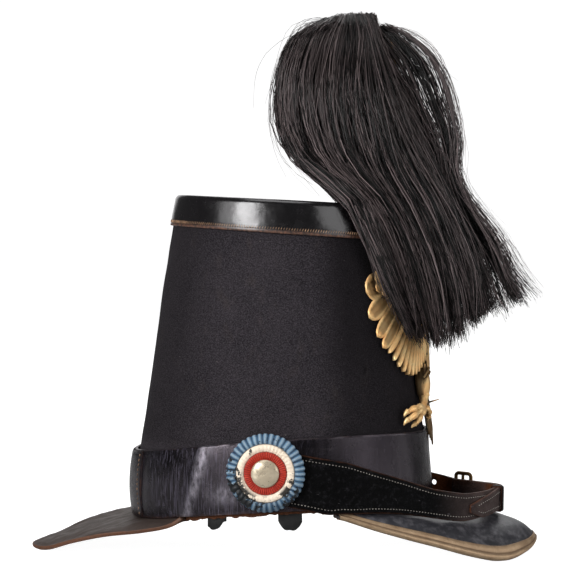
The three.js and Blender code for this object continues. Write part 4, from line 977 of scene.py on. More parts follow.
# buckle
lo_b, hi_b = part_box("strap_buckle")
zb0, zb1 = lo_b[2] * 1000, hi_b[2] * 1000
b0 = int(np.argmin(np.abs(route[:, 0] - 120.5) + 1000 * (side < 0)))
bp, bo, bt = route[b0], strap_out[b0], tang[b0]
loop_ = rounded_loop(-6.3, zb0 + 1.2, 6.3, zb1 - 1.3, 2.4, 6)
h = Heap()
ring = []
for j in range(len(loop_)):
    nxt, prv = loop_[(j + 1) % len(loop_)], loop_[j - 1]
    t_ = (nxt - prv) / np.linalg.norm(nxt - prv)
    nrm = np.array([t_[1], -t_[0]])
    a = 2 * pi * np.arange(10) / 10
    w_ = loop_[j] + np.outer(np.cos(a) * 1.35, nrm)
    ring.append(bp + bo * (LAYER + 1 + 1.5 + 1.2 + np.sin(a) * 1.2)[:, None] + np.outer(w_[:, 0], bt) + np.stack([0 * a, 0 * a, w_[:, 1]], -1))
ring = np.array(ring)
# a little painted shade on the cross bar and the middle bar
h.add(ring.reshape(-1, 3), grid_quads(len(ring), 10, True, True), deep=0.0)
pin = np.array([bp + bo * (LAYER + 1 + 2.7 + 0.9 * math.sin(pi * q)) + bt * (-6.6 + 13.4 * q) + np.array([0, 0, (zb0 + zb1) / 2]) for q in np.linspace(0, 1, 12)])
h.add(*tube(pin, np.linspace(1.15, 0.8, 12), 8), deep=0.0)
v, f = tube(np.array([bp + bo * (LAYER + 1 + 2.7) + bt * -6.3 + np.array([0, 0, z]) for z in np.linspace((zb0 + zb1) / 2 - 2.2, (zb0 + zb1) / 2 + 2.2, 6)]), 1.7, 10)
h.add(v, f, deep=0.2)
v, f = tube(np.array([bp + bo * (LAYER + 1 + 2.7) + bt * 0.4 + np.array([0, 0, z]) for z in np.linspace(zb0 + 1.2, zb1 - 1.3, 10)]), 1.1, 10)
h.add(v, f, deep=0.1)
from_heap("strap_buckle_frame", h, BUCKLE, ["strap_buckle"])

# ------------------------------------------------------------------ rosette and buttons
def placed(verts, far=False):
    """From the rosette's own frame (x right, y up, z out of the hat) to the hat."""
    turn = math.radians(4.5) * (1 if far else -1)
    s = 1 if far else -1
    x = verts[:, 0] * (-1 if far else 0.965)
    y = s * verts[:, 2]
    c, n_ = math.cos(turn), math.sin(turn)
    return np.stack([-13.2 + c * x - n_ * y, s * 87.0 + n_ * x + c * y, 61.8 + verts[:, 1] * (1 if far else 0.965)], -1)


A = 480
ang = 2 * pi * np.arange(A) / A
fl_out = np.abs(np.cos(20 * ang + 0.3 * np.sin(3 * ang) + 0.12 * np.sin(11 * ang))) ** 0.9
fl_red = 0.5 + 0.5 * np.cos(54 * ang + 0.3 * np.sin(5 * ang + 1))
fl_white = 0.5 + 0.5 * np.cos(44 * ang + 0.5 * np.sin(4 * ang + 2))
prof = [(0.05, 0.0), (12, 0.0), (24.4, 0.1), (25.4, 0.5)]
radii = np.concatenate([np.linspace(26, 19.75, 14), [19.55, 19.35], np.linspace(19.2, 14.7, 10), [14.45, 14.25], np.linspace(14.1, 9.6, 10), [9.0, 0.05]])
# dtag: painted shade, full round the underside of the rim, strong in the steps between the rings and under the dome
ring, rtag, ftag, dtag = [], [], [], []
one = np.ones(A)
for r_, h_ in prof:
    ring.append(np.stack([r_ * np.cos(ang), r_ * np.sin(ang), h_ * one], -1)); rtag.append(one * 26); ftag.append(fl_out); dtag.append(one)
lump_ = 0.25 * wobble(np.stack([26 * np.cos(ang), 26 * np.sin(ang), 0 * ang], -1), 14, 71)
for r_ in radii:
    if r_ >= 19.7:
        q = (26 - r_) / 6.25
        base = 1.0 + 2.7 * math.sin(min(1, q * 1.25) * pi / 2) ** 0.7
        hh = base + 1.0 * fl_out * math.sin(pi * min(1, q * 0.9 + 0.12)) ** 0.6 + lump_ * 0.6
        rr = r_ + (0.9 * (fl_out - 0.45) if q < 0.12 else 0)
        fl, dp = fl_out, 0.0
    elif r_ > 19.3:
        hh, rr, fl, dp = 3.1 * one, r_, fl_out, 0.9
    elif r_ >= 14.6:
        q = (19.2 - r_) / 4.5
        hh = 3.5 + 1.35 * math.sin(pi * (0.15 + 0.7 * q)) + 0.22 * fl_white
        rr, fl, dp = r_, fl_white, 0.0
    elif r_ > 14.2:
        hh, rr, fl, dp = 3.9 * one, r_, fl_white, 0.85
    elif r_ >= 9.5:
        q = (14.1 - r_) / 4.5
        hh = 4.25 + 0.95 * math.sin(pi * (0.2 + 0.6 * q)) + 0.6 * (fl_red - 0.5)
        rr, fl, dp = r_, fl_red, 0.0
    else:
        hh, rr, fl, dp = 5.0 * one, r_, fl_red, 0.8
    ring.append(np.stack([rr * np.cos(ang), rr * np.sin(ang), hh * one], -1)); rtag.append(one * r_); ftag.append(fl); dtag.append(one * dp)
ring = np.array(ring)
worn = np.clip(0.0 + 1.1 * np.exp(-(((np.angle(np.exp(1j * (ang - math.radians(220))))) / 0.7) ** 2)) + 0.85 * np.exp(-(((np.angle(np.exp(1j * (ang - math.radians(314))))) / 0.35) ** 2)), 0, 1)
v, f = loft_closed(ring)
tags = {"radius": np.concatenate([np.array(rtag).ravel(), [26, 0]]), "flute": np.concatenate([np.array(ftag).ravel(), [0, 0]]), "deep": np.concatenate([np.array(dtag).ravel(), [1, 1]]), "worn": np.concatenate([np.tile(worn, len(ring)), [0, 0]])}
piece("cockade_rosette", placed(v), f, PAINT, ["cockade"], tags)


def dome(profile, name, material, node_name, far=False, segs=96):
    a_ = 2 * pi * np.arange(segs) / segs
    rg = np.array([np.stack([r_ * np.cos(a_), r_ * np.sin(a_), h_ + 0 * a_], -1) for r_, h_, _ in profile])
    bump_ = 0.06 * wobble(rg, 5, 81)
    rg[..., 2] += bump_ * (np.array([p_[0] for p_ in profile])[:, None] > 0.3)
    v_, f_ = loft_closed(rg)
    return piece(name, placed(v_, far), f_, material, [node_name], {"deep": np.concatenate([np.repeat([p_[2] for p_ in profile], segs), [1, 0]])}, sharp=50)


# third value of each profile point: painted shade, full under the dome's edge, none on its top
arc = [(9.3 * math.cos(t_), 5.9 + 2.15 * math.sin(t_), 0.0) for t_ in np.linspace(0.12, pi / 2 - 0.02, 14)]
dome([(0.1, 5.35, 1), (9.0, 5.35, 1), (9.35, 5.6, 0.6)] + arc, "cockade_dome", SILVER, "cockade_button")
arc = [(9.3 * math.cos(t_), 5.0 + 3.05 * math.sin(t_), 0.0) for t_ in np.linspace(0.05, pi / 2 - 0.02, 14)]
dome([(0.1, 0.0, 1), (13.0, 0.0, 1), (13.8, 0.5, 0.3), (14.0, 1.2, 0), (13.5, 2.3, 0), (12.4, 2.9, 0), (10.6, 3.1, 0.4), (9.9, 3.3, 0.9), (9.5, 4.0, 0.5)] + arc, "far_button_dome", BRASS, "far_strap_button", True)

# ------------------------------------------------------------------ eagle plate, drawn flat (w, z, d) and bent round the felt
WRAP = 84.0


def bend(flat):
    uu, z = flat[:, 0] / WRAP, flat[:, 1]
    return felt_at(uu, z) + felt_normal(uu, z) * flat[:, 2:3]


eagle = Heap()
eagle_flat = []


def add_flat(v_, f_, deep=0.0):
    v_ = np.array(v_, float)
    v_[:, 2] = np.maximum(v_[:, 2], 0.5)
    eagle_flat.append(v_)
    eagle.add(bend(v_), f_, deep=deep)


def feather(base, tip, wide, d0, d1, thick=1.3, curl=0.0, nt=18, nx=9, root=0.45, barbs=10, blunt=0.5, border=0.0, dark=0.0, foot=99.0):
    """A leaf with a mid rib and slanting barbs, from base to tip, d0 and d1 above the felt at its two ends."""
    base, tip = np.array(base, float), np.array(tip, float)
    along = tip - base
    length_ = np.linalg.norm(along)
    along /= length_
    across = np.array([along[1], -along[0]])
    t_ = np.linspace(0, 1, nt)
    half = wide / 2 * (root + (1 - root) * np.sin(np.clip(t_ / 0.72, 0, 1) * pi / 2)) * np.sqrt(np.clip(1 - np.clip((t_ - (1 - blunt)) / blunt, 0, 1) ** 2.2, 0.0, 1))
    half = np.maximum(half, 0.12)
    x_ = np.linspace(-1, 1, nx)
    X, TT = np.meshgrid(x_, t_)
    lat = X * half[:, None] + curl * length_ * (TT**2)
    w = base[0] + along[0] * TT * length_ + across[0] * lat
    z = base[1] + along[1] * TT * length_ + across[1] * lat
    crown_ = (1 - np.abs(X) ** 2.2)
    rib = 0.38 * np.exp(-((X * half[:, None]) / 0.55) ** 2) * (1 - TT**4)
    comb = 0.14 * np.sin(2 * pi * (TT * barbs - np.abs(X) * 1.3)) * (0.3 + np.abs(X)) * (1 - np.abs(X) ** 6)
    ring_ = border * np.exp(-(((np.abs(X) - 0.8) / 0.16) ** 2)) + border * np.exp(-(((TT - 0.955) / 0.035) ** 2)) * (np.abs(X) < 0.8)
    crown_ = crown_ * (1 - 0.55 * min(1.0, border * 1.3)) if border else crown_
    d = d0 + (d1 - d0) * TT + thick * crown_ * (1 - 0.35 * TT) + rib + comb + ring_
    top_ = np.stack([w, z, d], -1)
    low_ = np.stack([w, z, np.minimum(d0 + (d1 - d0) * TT - 0.25, foot)], -1)
    rings_ = np.concatenate([top_, low_[:, ::-1]], 1)
    v_, f_ = loft_closed(rings_)
    # dp: painted shade at the feather's side edges between overlapping feathers, in barb grooves, at the root under the
    # feather above and inside a raised border; dark adds more
    dp = np.concatenate([np.concatenate([np.clip(np.abs(X) ** 5 * 1.2 * (border < 0.5) + 0.25 * (comb < -0.05) + 0.6 * (1 - smooth(TT, 0.0, 0.3)) + (0.95 * (np.abs(X) < 0.62) * (TT < 0.9) if border > 0.5 else 0.0), 0, 1) + dark, np.ones(X.shape)], 1).ravel(), [1, 0.4]])
    add_flat(v_, f_, dp)


def lump(w, z, d, rw, rz, rd, lean=0.0, deep=0.0, n=20, m=12):
    c, s = math.cos(math.radians(lean)), math.sin(math.radians(lean))
    v_, f_ = ellipsoid((w, z, d), (rw, rz, rd), np.array([[c, -s, 0], [s, c, 0], [0, 0, 1]]), n, m)
    add_flat(v_, f_, deep)


for s in (1, -1):
    # broad outer feathers with a raised border, then the fan below them
    outer = [((40, 189), (71.5, 177), 18, 1.0), ((37, 182), (71.5, 160.5), 13.5, 1.2), ((32, 175), (66, 148), 11.5, 1.4), ((28, 169), (62, 140.5), 10, 1.6)]
    for b, t, wd, d in outer:
        feather((s * b[0], b[1]), (s * t[0], t[1]), wd, d, d + 0.5, 1.0, barbs=11, blunt=0.34, border=0.75, nt=24, nx=13)
    fan = [(57, 137), (52.8, 132), (48.4, 127.6), (43.8, 124.2), (39.2, 122.0), (34.6, 121.0), (30, 121.4), (25.4, 122.8), (21, 125), (17, 127.6), (13.2, 131)]
    for k, (tw, tz) in enumerate(fan):
        feather((s * (24 - 1.6 * k), 162 - 1.35 * k), (s * tw, tz), 5.6, 1.9 + 0.1 * k + 0.062 * k**2, 2.1 + 0.08 * k + 0.05 * k**2, 2.6, barbs=14, blunt=0.24, nt=20, foot=1.4)
    # two rows of shorter feathers over their roots
    for k in range(9):
        q = k / 8
        b = np.array([s * (46 - 36 * q), 190 - 28 * q])
        tip_ = np.array([s * (63 - 44 * q), 178 - 36 * q + 5 * math.sin(pi * q)])
        feather(b, tip_, 9.4, 3.0, 3.0, 1.2, barbs=8, blunt=0.42, nt=16, border=0.3)
    for k in range(9):
        q = k / 8
        b = np.array([s * (54 - 46 * q), 196 - 22 * q])
        tip_ = b + np.array([s * (9 - 4 * q), -13 - 3 * q])
        feather(b, tip_, 8.6, 4.2, 4.1, 1.1, barbs=6, blunt=0.5, nt=12, border=0.3)
    # leading edge of the wing
    q = np.linspace(0, 1, 26)
    lead = np.stack([s * (6 + 56 * q), 176 + 24 * np.sin(q * pi * 0.62) - 5 * q**3, 4.0 + 1.3 * np.sin(pi * q)], -1)
    v, f = tube(lead, 1.2 + 1.9 * np.sin(pi * np.clip(q * 0.93 + 0.06, 0, 1)), 10)
    add_flat(v, f, 0.1)
    # legs: feathered thigh with a garter, bent shin, knuckled toes with talons
    lump(s * 14.5, 116, 4.6, 6.0, 13.0, 5.6, 16 * s, 0.25)
    for row in range(4):
        for j in range(3):
            zz = 127 - 4.8 * row
            ww = s * (11.0 + 1.3 * row) + (j - 1) * 4.4
            feather((ww, zz), (ww + 0.8 * s, zz - 8.0), 5.2, 9.2 - 1.4 * abs(j - 1) - 0.35 * row, 9.0 - 1.6 * abs(j - 1) - 0.5 * row, 0.8, nt=9, nx=7, barbs=4, blunt=0.6)
    q = np.linspace(0, 1, 14)
    for zg in (123.5, 121.0):
        v, f = tube(np.stack([s * (6 + 17 * q), zg - 5 * q + 2.5 * np.sin(pi * q), 8.2 + 2.6 * np.sin(pi * q)], -1), 0.65, 7)
        add_flat(v, f, 1.3)
    q = np.linspace(0, 1, 16)
    shin = np.stack([s * (17 + 9 * q + 4 * q**3), 107 - 9.5 * q, 5.4 + 0 * q], -1)
    v, f = tube(shin, 3.5 - 1.2 * np.sin(pi * q * 0.8) + 0.2 * np.sin(q * 30), 10)
    add_flat(v, f)
    for tw, tz, hook, rr in ((49.5, 98.0, -3.6, 2.3), (50.5, 92.6, -3.4, 2.5), (43.0, 89.6, -2.6, 2.4), (18, 92.5, -3.4, 1.9)):
        q = np.linspace(0, 1, 20)
        sg = 1 if tw > 28 else -1
        toe = np.stack([s * (28 + (tw - 28) * q), 97.5 + (tz - 97.5) * q + 2.2 * np.sin(pi * q), 5.6 + 2.4 * np.sin(pi * q * 0.85)], -1)
        v, f = tube(toe, rr - 0.4 * q + 0.42 * np.sin(q * 5.5 * pi + 0.6), 10)
        add_flat(v, f)
        talon = np.stack([s * (tw + sg * 2.6 * np.sin(q * 1.4)), tz + hook * q**1.3, 6.2 - 1.8 * q], -1)
        v, f = tube(talon, 1.9 * (1 - q) ** 0.8 + 0.15, 9)
        add_flat(v, f)
# breast
lump(0, 149, 4.2, 15, 34, 7.4, 0, 0.1, 28, 18)
for row in range(12):
    zz = 179 - 5.2 * row
    half = 13.2 * math.sqrt(max(0.05, 1 - ((zz - 149) / 35) ** 2))
    count = max(2, int(half / 3.1))
    for j in range(count):
        ww = (j - (count - 1) / 2) * (2 * half / count) + (0.9 if row % 2 else -0.9)
        lift_ = 8.0 * math.sqrt(max(0.0, 1 - (ww / 15.5) ** 2 - ((zz - 4 - 149) / 36) ** 2))
        feather((ww, zz), (ww * 1.04, zz - 9.0), 6.6, 3.9 + lift_, 3.6 + lift_, 0.9, nt=10, nx=7, barbs=4, blunt=0.55)
q = np.linspace(0, 1, 10)
v, f = tube(np.stack([0 * q, 100 + 1.0 * q, 6 + 7.5 * q], -1), 0.75 * (1 - 0.6 * q), 7)
add_flat(v, f, 0.2)
# head turned to the side, with neck feathers, brow, eye and hooked beak
lump(0, 180, 4.6, 9.5, 10, 6.0, 0, 0.1)
lump(2, 190, 5.0, 8.6, 9.5, 5.4, 0)
for row in range(4):
    for j in range(4):
        feather((-6 + 4 * j, 190 - 4 * row), (-6.4 + 4.2 * j, 182 - 4 * row), 4.8, 8.2 - 1.1 * abs(j - 1.5), 8.4 - 1.1 * abs(j - 1.5), 0.7, nt=9, nx=7, barbs=3, blunt=0.6)
q = np.linspace(0, 1, 12)
v, f = tube(np.stack([8 + 10 * q, 191 + 1.5 * np.sin(pi * q) - 5 * q**2.4, 6.2 - 0.6 * q], -1), 3.3 * (1 - q) ** 0.75 + 0.2, 10)
add_flat(v, f)
v, f = tube(np.stack([8 + 6.5 * q, 187.6 - 1.2 * q, 5.8 - 0.4 * q], -1), 1.7 * (1 - q) ** 0.6 + 0.2, 8)
add_flat(v, f)
lump(5.4, 193, 9.6, 1.5, 1.3, 0.9, 0, 0.6, 12, 8)
v, f = tube(np.stack([1 + 8 * q, 194.6 + 0.8 * np.sin(pi * q), 9.6 - 1.2 * q], -1), 0.9, 7)
add_flat(v, f)
# tail, hanging over the band's top
# dark=1.4 paints the tail feathers as in shade, for the tail's shaded side
for k, (tw, tz) in enumerate(((-12, 80), (12, 80), (-7.5, 75.5), (7.5, 75.5), (0, 71.8))):
    feather((tw * 0.25, 118), (tw, tz), 8.6, 3.7 + 0.45 * k, 3.9 + 0.35 * k, 1.2, barbs=12, blunt=0.3, nt=18, dark=1.4)
for k in range(5):
    ww = -6 + 3 * k
    feather((ww * 0.7, 121), (ww * 1.1, 105), 5.4, 6.6, 6.2, 0.8, nt=10, nx=7, barbs=5)
flat = np.concatenate(eagle_flat)
cell = 0.5
iw = np.round((flat[:, 0] + 90) / cell).astype(int)
iz = np.round((flat[:, 1] - 60) / cell).astype(int)
relief_map = np.full((370, 300), 0.5)
np.maximum.at(relief_map, (iw, iz), flat[:, 2])
for _ in range(2):  # close the holes between points
    pad = np.pad(relief_map, 1, mode="edge")
    near_max = np.max([pad[1 + a : 371 + a, 1 + b : 301 + b] for a in (-1, 0, 1) for b in (-1, 0, 1)], 0)
    relief_map = np.maximum(relief_map, near_max - 0.45)
pad = np.pad(relief_map, 5, mode="edge")
around = np.mean([pad[5 + a : 375 + a, 5 + b : 305 + b] for a in range(-4, 5, 2) for b in range(-4, 5, 2)], 0)
# hollow: painted shade in the relief's hollows, where a point lies below the relief around it
hollow = np.clip((around[iw, iz] - flat[:, 2] - 0.05) / 1.1, 0, 1)
old = np.concatenate(eagle.tags["deep"])
eagle.tags["deep"] = [np.clip(0.6 * old + 0.95 * hollow, 0, 1)]
from_heap("eagle_relief", eagle, BRASS, ["eagle_plate"], sharp=70)

# ------------------------------------------------------------------ liner tongues
for nm, x0, x1, low, slant, rnd in (("liner_tab_rear", -51, -39, 22.0, 2.5, 0.0), ("liner_tab_front", -5, 10.6, 23.6, 0.0, 4.5)):
    q = np.linspace(0, 1, 26)
    uu = -np.arccos((x0 + (x1 - x0) * q + 1.1) / (98.4 - 2.5))
    e = np.abs(2 * q - 1)
    lowz = low + (6.0 * smooth(q, 0.4, 1.0) + 1.6 * (1 - smooth(q, 0, 0.2)) if slant else 6.0 * e**3.2) + 0.2 * np.sin(q * 17)
    ring = []
    for k, top_side in ((-2.9, 0), (-3.1, 0), (-3.9, 0), (-4.1, 0)):
        ring.append(felt_at(uu, lowz + (0.25 if k in (-2.9, -4.1) else 0), k))
    for z in np.linspace(30, 52, 6):
        ring.append(felt_at(uu, np.maximum(z, lowz + 0.5), -4.1))
    for z in np.linspace(52, 30, 6):
        ring.append(felt_at(uu, np.maximum(z, lowz + 0.5), -2.9))
    ring = np.stack(ring, 1)
    v, f = loft_closed(ring)
    piece(nm + "_leather", v, f, LINER, [nm], sharp=60)

# ------------------------------------------------------------------ plume
ROWS = np.array([  # rear x z, middle x z, front x z, half depth
    (53, 363.0, 60, 363.8, 66, 361.0, 8), (20, 353, 58, 351, 87, 346, 24), (-3, 336, 57, 331, 100, 328, 38), (-10, 312, 60, 306, 108, 303, 47),
    (-8, 285, 64, 282, 112, 279, 52), (5, 263, 71, 258, 117, 254, 54), (33, 240, 80, 236, 131, 235, 53), (50, 206, 92, 210, 146, 209, 51),
    (66, 172, 101, 178, 155, 192, 46), (84, 142, 108, 146, 166, 178, 41)], float)
MAIN = np.array([  # the thick part, folded over at the top
    (22, 358.5, 42, 361.5, 56, 361, 16), (2, 348.5, 46, 347.5, 60, 345, 33), (-7, 331, 46, 328, 69, 325, 46), (-11, 309, 47, 304, 80, 302, 54),
    (-8.5, 284, 52, 280, 91, 278, 58), (4, 263.5, 60, 257, 104, 255, 59), (34, 240, 75, 235, 114, 233, 57), (51, 206, 89, 208, 124, 207, 53),
    (66, 174, 99, 175, 132, 188, 47), (81, 151, 105, 142, 135, 168, 40)], float)
FRONT = np.array([  # the thinner lock in front, which swings out to the tip
    (50, 350, 59, 355, 67, 355.5, 9), (54, 340, 69, 345, 84, 347, 17), (61, 323, 82, 328, 101, 329, 24), (71, 300, 93, 303, 110, 304, 28),
    (87, 279, 103, 280, 114, 280, 30), (98, 255, 106, 256, 113, 257, 30), (104, 236, 114, 236, 123, 237, 29), (112, 208, 130, 210, 145, 211, 29),
    (119, 182, 140, 188, 157, 193, 30), (128, 164, 149, 168, 170, 180, 30)], float)
CAP_Z = 238.5


def plume_row(s, rows=ROWS):
    n = len(rows)
    a = np.clip(np.asarray(s, float), 0, 1.12) * (n - 1)
    i = np.clip(np.floor(a).astype(int), 0, n - 2)
    f = (a - i)[..., None]
    v = lambda k: rows[np.clip(k, 0, n - 1)]
    return 0.5 * (2 * v(i) + (v(i + 1) - v(i - 1)) * f + (2 * v(i - 1) - 5 * v(i) + 4 * v(i + 1) - v(i + 2)) * f * f + (3 * v(i) - v(i - 1) - 3 * v(i + 1) + v(i + 2)) * f**3)


def plume_point(phi, rho, s, rows=ROWS):
    r = plume_row(s, rows)
    sq = lambda a: np.sign(a) * np.abs(a) ** 0.82
    c, n_ = sq(np.cos(phi)) * rho, sq(np.sin(phi)) * rho
    ex = np.where(c > 0, r[..., 4], r[..., 0])
    ez = np.where(c > 0, r[..., 5], r[..., 1])
    ac = np.abs(c)
    return np.stack([r[..., 2] + (ex - r[..., 2]) * ac, r[..., 6] * n_, r[..., 3] + (ez - r[..., 3]) * ac], -1)


def clear_of_hat(p, off, rear):
    """Moves hair out of the body: sideways behind, forwards in front, widening gently before it gets there."""
    x, y, z = p[..., 0], p[..., 1].copy(), p[..., 2]
    zz = np.clip(z, 70, 236)
    t = np.clip((zz - 75.5) / (216 - 75.5), 0, 1)
    a = 97.5 - 20.0 * t + 1.0
    b = 80.5 - 11.5 * t + 1.0
    cx = -3.6
    grow = off + np.where(z < 205, 4.5, 0.0)
    below = z < CAP_Z
    inside = np.clip(1 - ((x - cx) / (a + grow)) ** 2, 0, 1)
    need_y = np.where(below & (x - cx < a + grow), (b + grow) * np.sqrt(inside), 0.0)
    inside = np.clip(1 - (y / (b + grow)) ** 2, 0, 1)
    relief = np.where((z < 205) & (np.abs(y) < 30), 7.0, 0.0)
    need_x = np.where(below, cx + (a + grow + relief) * np.sqrt(inside), -1e3)
    step = np.linalg.norm(np.diff(p, axis=-2), axis=-1)
    for j in range(p.shape[-2] - 2, -1, -1):
        need_y[..., j] = np.maximum(need_y[..., j], need_y[..., j + 1] - 0.5 * step[..., j])
        need_x[..., j] = np.maximum(need_x[..., j], need_x[..., j + 1] - 0.45 * step[..., j])
    sign = np.where(y[..., -1:] >= 0, 1.0, -1.0)
    out_ = p.copy()
    ys = np.where(need_y > 0.5, np.maximum(y * sign, need_y) * sign, y)
    out_[..., 1] = np.where(rear, ys, y)
    out_[..., 0] = np.where(rear, x, np.maximum(x, need_x))
    return out_


def strands(paths, radius, tint):
    """Closed three-sided hairs along paths (n, k, 3)."""
    n, k, _ = paths.shape
    t = np.gradient(paths, axis=1)
    t /= np.linalg.norm(t, axis=2)[..., None] + 1e-12
    ref = np.array([0.31, 0.77, 0.55])
    a = np.cross(t, ref); a /= np.linalg.norm(a, axis=2)[..., None] + 1e-12
    b = np.cross(t, a)
    v = np.stack([paths + radius[..., None] * (math.cos(q) * a + math.sin(q) * b) for q in (0, 2 * pi / 3, 4 * pi / 3)], 2)
    v = v.reshape(n, k * 3, 3)
    base = grid_quads(k, 3, False, True)
    tri = np.concatenate([base[:, [0, 1, 2]], base[:, [0, 2, 3]], [[2, 1, 0], [3 * k - 3, 3 * k - 2, 3 * k - 1]]])
    f = (tri[None] + (np.arange(n) * k * 3)[:, None, None]).reshape(-1, 3)
    return v.reshape(-1, 3), f, np.repeat(tint, 3, 1).ravel()


def hair_piece(name, paths, radius, tint, replaces=()):
    v, f, tag = strands(paths, radius, tint)
    me = bpy.data.meshes.new(name)
    me.vertices.add(len(v)); me.vertices.foreach_set("co", (v * MM).astype(np.float32).ravel())
    me.loops.add(len(f) * 3); me.loops.foreach_set("vertex_index", f.astype(np.int32).ravel())
    me.polygons.add(len(f)); me.polygons.foreach_set("loop_start", np.arange(0, len(f) * 3, 3, dtype=np.int32))
    me.update(calc_edges=True)
    me.validate()
    me.polygons.foreach_set("use_smooth", np.ones(len(me.polygons), bool))
    me.attributes.new("tint", "FLOAT", "POINT").data.foreach_set("value", tag.astype(np.float32))
    ob = bpy.data.objects.new(name, me)
    scene.collection.objects.link(ob)
    me.materials.append(HAIR)
    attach(ob, "root")
    for n in replaces:
        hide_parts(n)
    return ob


K = 16
S = np.linspace(0, 1, K)


def lock(rng, count, clumps, rows, phi_of, rho_of, end, width, tint, ragged=0.05, jitter=1.0, gather=0.6, spread=0.15, rear_all=False, start=0.0):
    """Hair in clumps: each hair follows its clump and is drawn to it towards the tip."""
    cphi, crho = phi_of(clumps), rho_of(clumps)
    big = rng.uniform(0, 2 * pi, 6)
    cend = ragged * (sum(np.sin(f_ * cphi + b_) for f_, b_ in zip((7, 11, 17, 23, 31, 43), big)) / 1.9 + 0.7 * rng.normal(size=clumps))
    cdir = rng.normal(size=(clumps, 3)); cfreq = rng.uniform(0.5, 1.7, clumps); cph = rng.uniform(0, 2 * pi, clumps)
    weight = rng.random(clumps) ** 1.4 + 0.12
    own = rng.choice(clumps, count, p=weight / weight.sum())
    dphi = rng.normal(0, spread, count); drho = rng.normal(0, 0.045, count)
    s_end = end + cend[own] + rng.normal(0, 0.017, count) - 0.5 * (rng.random(count) < 0.10) * rng.random(count)
    s_end = np.clip(s_end, 0.3, 1.09)
    s0 = start * (1 - 0.5 * rng.random(count))[:, None]
    s = s0 + S[None] * (s_end[:, None] - s0)
    draw = 1 - gather * smooth(s, 0.05, 0.6) - 0.5 * (1 - gather) * smooth(s, 0.75, 1.0)
    phi = cphi[own][:, None] + dphi[:, None] * draw
    rho = np.clip(crho[own][:, None] + drho[:, None] * draw, 0.05, 1.04)
    inner = np.where(rng.random((count, 1)) < 0.4, 0.08 + 0.8 * rng.random((count, 1)), 1.0)
    rho = rho * (inner + (1 - inner) * smooth(s, 0.0, 0.06))
    p = plume_point(phi, rho, s, rows)
    swell = smooth(s, 0.04, 0.45)
    wave = np.sin(2 * pi * cfreq[own][:, None] * s + cph[own][:, None])
    p = p + (cdir[own][:, None] * (wave * swell * 1.9)[..., None])
    d_ = rng.normal(size=(count, 1, 3)); fr = rng.uniform(0.6, 1.6, (count, 1)); ph = rng.uniform(0, 2 * pi, (count, 1))
    p = p + d_ * (np.sin(2 * pi * fr * s + ph) * swell * 1.0 * jitter)[..., None]
    d_ = rng.normal(size=(count, 1, 3)); fr = rng.uniform(2.0, 4.5, (count, 1)); ph = rng.uniform(0, 2 * pi, (count, 1))
    p = p + d_ * (np.sin(2 * pi * fr * s + ph) * swell * 0.42 * jitter)[..., None]
    p[:, :, 2] += (rng.normal(0, 1.2, (count, 1)) * (1 - smooth(S, 0, 0.12))[None])
    p = p + rng.normal(size=(count, 1, 3)) * (1.7 * jitter * S[None] ** 5)[..., None]
    rear = (np.cos(cphi)[own] < 0.25)[:, None] & (not rear_all)
    p = clear_of_hat(p, 1.4 + 3.0 * rng.random((count, 1)), rear)
    rad = width * (0.6 + 0.8 * rng.random((count, 1))) * (1 - 0.5 * smooth(S, 0.72, 1.0))[None] * np.ones((count, K))
    # tn: each hair's tone, with painted shade on the inner hairs (lower rho darker); then darker towards the roots
    tn = np.clip(tint + rng.normal(0, 0.2, clumps)[own] + rng.normal(0, 0.36, count) - 1.1 * (1 - np.minimum(1, crho[own] + drho)), 0, 1)
    tn = np.clip(tn[:, None] * (0.85 + 0.5 * smooth(s, 0.2, 0.7)), 0, 1)
    return p, rad, tn


rng = np.random.default_rng(20)
quick = 1.0
# the thick part, in four pieces round the plume
per = int(1420 * quick)
for k in range(4):
    a0 = k * pi / 2
    p, r_, tn = lock(rng, per, 210, MAIN, lambda n: a0 + rng.random(n) * pi / 2, lambda n: 1.0 - 0.30 * rng.random(n) ** 1.5, 0.957, 0.25, 0.19, 0.076, 1.3, 0.8, 0.1)
    hair_piece(f"plume_hair_{k + 1}", p, r_, tn, ["plume_hair"] if k == 0 else ())
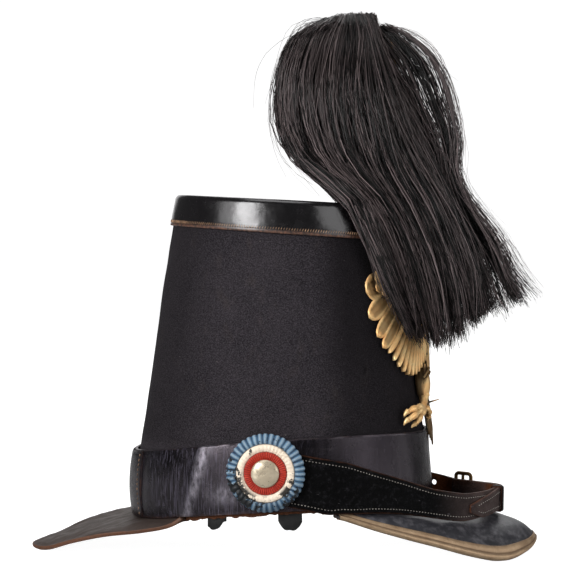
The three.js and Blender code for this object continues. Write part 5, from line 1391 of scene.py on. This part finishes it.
# front lock with gaps, and loose single hairs
p1, r1, t1 = lock(rng, int(250 * quick), 28, FRONT, lambda n: rng.random(n) * 2 * pi, lambda n: 0.25 + 0.7 * rng.random(n) ** 0.7, 0.97, 0.23, 0.3, 0.08, 1.7, 0.88, 0.18, True)
p4, r4, t4 = lock(rng, int(330 * quick), 34, FRONT, lambda n: rng.random(n) * 2 * pi, lambda n: 0.1 + 0.85 * rng.random(n) ** 0.7, 0.98, 0.24, 0.24, 0.085, 1.6, 0.82, 0.2, True, 0.62)
p2, r2, t2 = lock(rng, int(245 * quick), 330, MAIN, lambda n: rng.random(n) * 2 * pi, lambda n: 0.99 + 0.05 * rng.random(n), 0.46, 0.13, 0.5, 0.1, 2.4)
p3, r3, t3 = lock(rng, int(70 * quick), 120, FRONT, lambda n: rng.normal(0, 0.7, n), lambda n: 0.99 + 0.05 * rng.random(n), 0.95, 0.12, 0.5, 0.12, 2.4, rear_all=True)
for q_ in (p2, p3):
    stray = rng.normal(size=(len(q_), 1, 3)) * np.array([1.0, 0.8, 0.35])
    q_ += stray * (9.5 * rng.random((len(q_), 1)) ** 2.0 * smooth(S, 0.1, 0.9)[None])[..., None]
    arch = (9 * rng.random((len(q_), 1)) * (rng.random((len(q_), 1)) < 0.4)) * np.sin(pi * np.clip(S / 0.55, 0, 1))[None]
    q_[..., 2] += arch
    np.clip(q_[..., 2], 70, 376, out=q_[..., 2])
    x_ = q_[..., 0]
    x_ = np.where(x_ < -18, -18 - 10 * np.tanh((-18 - x_) / 16), x_)
    q_[..., 0] = np.where(x_ > 162, 162 + 15 * np.tanh((x_ - 162) / 18), x_)
hair_piece("plume_hair_5", np.concatenate([p1, p4, p2, p3]), np.concatenate([r1, r4, r2, r3]), np.concatenate([t1, t4, t2, t3]))
# dark inside of the plume
ph = 2 * pi * np.arange(64) / 64
ss = np.linspace(0.03, 0.93, 44)
core = plume_point(ph[None, :], 0.74 - 0.1 * smooth(ss, 0.8, 0.93)[:, None], ss[:, None], MAIN)
core = clear_of_hat(core.transpose(1, 0, 2), 1.0, (np.cos(ph) < 0.25)[:, None]).transpose(1, 0, 2)
v, f = loft_closed(core)
piece("plume_core", v, f, CORE)

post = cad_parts["plume_post"]
post.data.materials.clear()
post.data.materials.append(BUCKLE)
